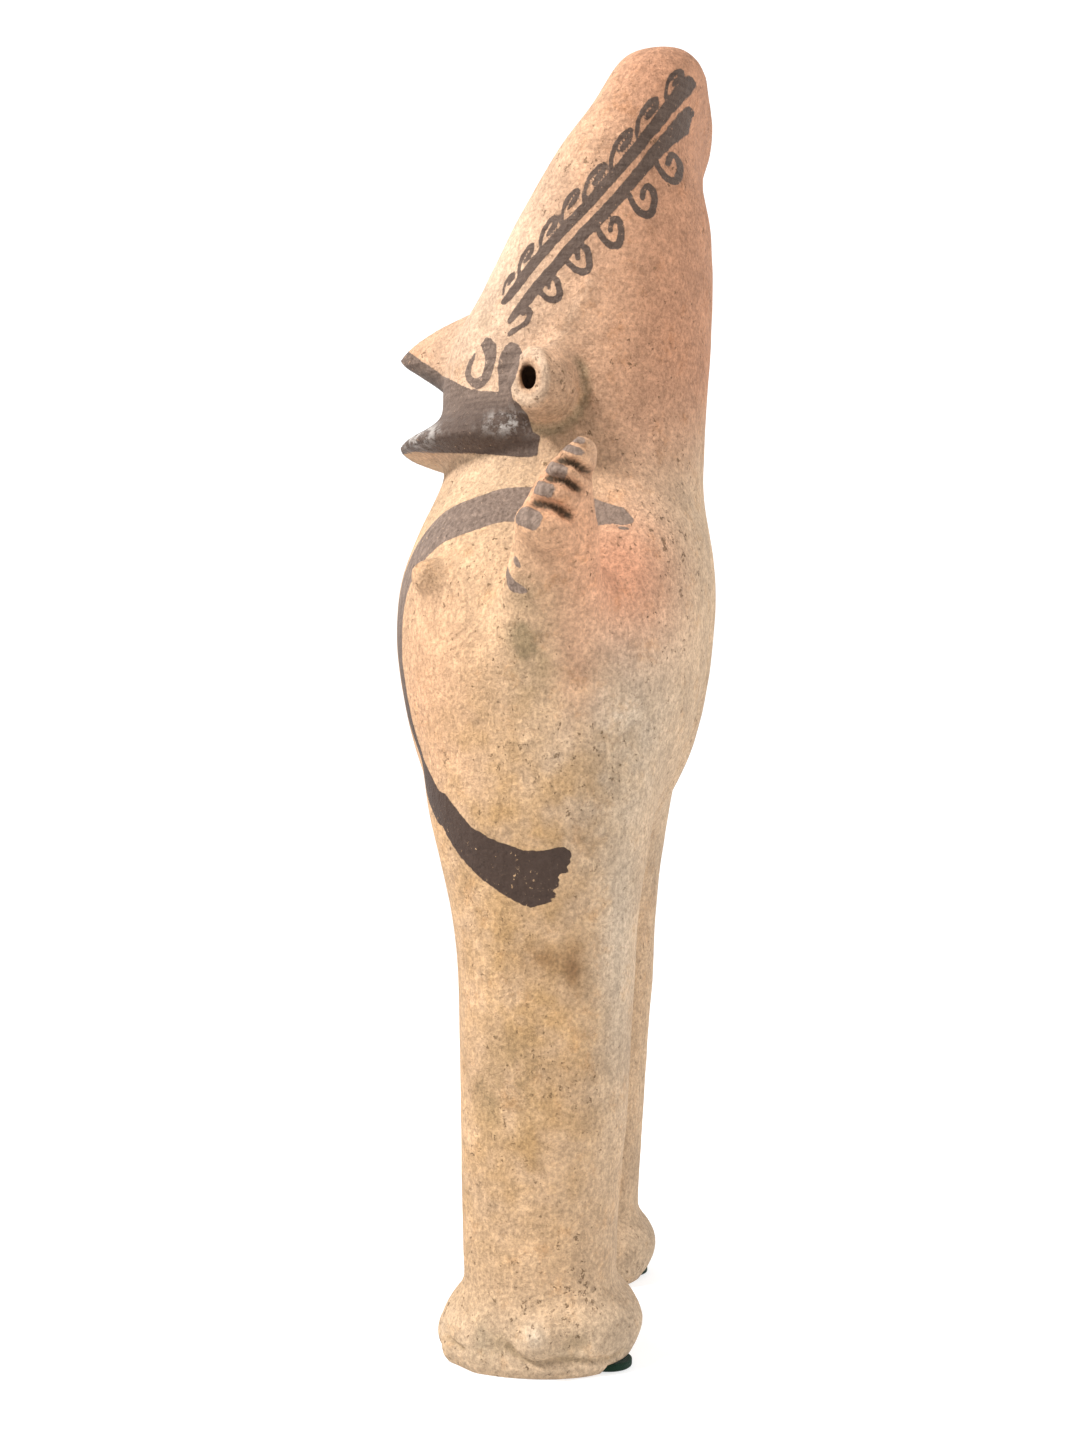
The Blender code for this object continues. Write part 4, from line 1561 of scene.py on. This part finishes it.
@dataclass(frozen=True)
class Studio:
    """A white floor, a white sky, soft lights and the camera of the photograph.

    Attributes:
        azimuth: Camera's angle round the figure, in degrees; 90 looks at its left side.
        camera_place: Where the camera stands, in metres.
        focal_pixels: Focal length in pixels of the photograph.
        photo_height: Height of the photograph in pixels.
        sensor: Height of the camera's sensor, in millimetres.
        floor_radius: Radius of the floor, in metres.
        floor_grey, floor_glow: What the floor throws back and what it gives, so that it stays white.
        sky_behind, sky_before: Strength of the sky behind the figure and on the camera's side.
        lamps: The lamps.
    """

    azimuth: float = 97.4
    camera_place: Place = (0.79334, 0.09534, 0.25)
    focal_pixels: float = 1880.0
    photo_height: float = 1439.0
    sensor: float = 36.0
    floor_radius: float = 2.4
    floor_grey: float = 0.45
    floor_glow: float = 0.65
    sky_behind: float = 1.25
    sky_before: float = 0.28
    lamps: tuple[Lamp, ...] = (
        Lamp("key", (0.80, -1.05, 1.60), (0.0, 0.0, 0.36), 62.0, 0.3),
        Lamp("back", (0.45, 1.45, 0.80), (0.0, 0.0, 0.26), 10.0, 0.6),
    )

    def build(self) -> None:
        """Lays the floor and sets the lamps, the sky and the camera."""
        self.lay_floor()
        for lamp in self.lamps:
            lamp.build()
        self.set_sky()
        self.set_camera()
        view = bpy.context.scene.view_settings
        view.view_transform = "Standard"
        view.look = "None"

    def lay_floor(self) -> None:
        """A round floor that curls up at its rim: its height is a ramp of the distance from the middle."""
        out = np.linspace(0.01, 1, 40)[:, None] * self.floor_radius
        turn = np.linspace(0, 2 * math.pi, 64, endpoint=False)
        up = 0.5 * ramp(out, self.floor_radius * 0.7, self.floor_radius) * np.ones_like(turn)
        rings = np.stack([out * np.cos(turn), out * np.sin(turn), up - 0.0002], axis=-1)
        index = np.arange(out.size * turn.size).reshape(out.size, turn.size)
        beside = np.roll(index, -1, axis=1)
        sides = np.stack([index[:-1], index[1:], beside[1:], beside[:-1]], axis=-1).reshape(-1, 4)
        mesh = bpy.data.meshes.new("floor")
        mesh.from_pydata(rings.reshape(-1, 3), [], sides.tolist() + [index[0].tolist()])
        sheet = Sheet("white_floor")
        sheet.shader.inputs["Base Color"].default_value = (*(self.floor_grey,) * 3, 1.0)
        sheet.shader.inputs["Roughness"].default_value = 0.9
        sheet.shader.inputs["Emission Color"].default_value = (1.0, 1.0, 1.0, 1.0)
        sheet.shader.inputs["Emission Strength"].default_value = self.floor_glow
        mesh.materials.append(sheet.material)
        mesh.shade_smooth()
        new_piece("floor", mesh)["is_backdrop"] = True

    def set_sky(self) -> None:
        """White light from all round, as in a light tent: strong behind the figure, weaker before it.

        The backdrop itself looks the same from every side.
        """
        world = bpy.data.worlds.new("studio")
        world.use_nodes = True
        nodes, links = world.node_tree.nodes, world.node_tree.links
        backdrop = nodes["Background"]
        backdrop.inputs["Color"].default_value = (1.0, 1.0, 1.0, 1.0)
        direction = nodes.new("ShaderNodeSeparateXYZ")
        links.new(nodes.new("ShaderNodeTexCoord").outputs["Generated"], direction.inputs[0])
        span = nodes.new("ShaderNodeMapRange")
        ends = {"From Min": -0.5, "From Max": 0.6, "To Min": self.sky_behind, "To Max": self.sky_before}
        for name, number in ends.items():
            span.inputs[name].default_value = number
        links.new(direction.outputs["X"], span.inputs["Value"])
        seen = nodes.new("ShaderNodeMix")
        seen.inputs["B"].default_value = self.sky_behind
        links.new(nodes.new("ShaderNodeLightPath").outputs["Is Camera Ray"], seen.inputs["Factor"])
        links.new(span.outputs["Result"], seen.inputs["A"])
        links.new(seen.outputs["Result"], backdrop.inputs["Strength"])
        bpy.context.scene.world = world

    def set_camera(self) -> None:
        """A level camera with the photograph's angle, distance and focal length."""
        data = bpy.data.cameras.new("camera")
        data.sensor_width = self.sensor
        data.lens = self.focal_pixels / self.photo_height * self.sensor
        camera = bpy.data.objects.new("camera", data)
        camera.location = self.camera_place
        camera.rotation_euler = (math.pi / 2, 0.0, math.radians(self.azimuth))
        bpy.context.scene.collection.objects.link(camera)
        bpy.context.scene.camera = camera


def main() -> None:
    """Loads the frame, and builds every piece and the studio."""
    logging.basicConfig(level=logging.INFO, format="%(message)s")
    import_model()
    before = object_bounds()
    step = before[1][2] / STEPS_TALL
    figure = ClayFigure(step).build()
    LOG.info("%s: %d faces", figure.name, len(figure.data.polygons))
    felt = FeltFinish().material()
    for side in SIDES:
        pad = FeltPad(side, felt).build()
        LOG.info("%s: %d faces", pad.name, len(pad.data.polygons))
    Studio().build()


if __name__ == "__main__":
    main()
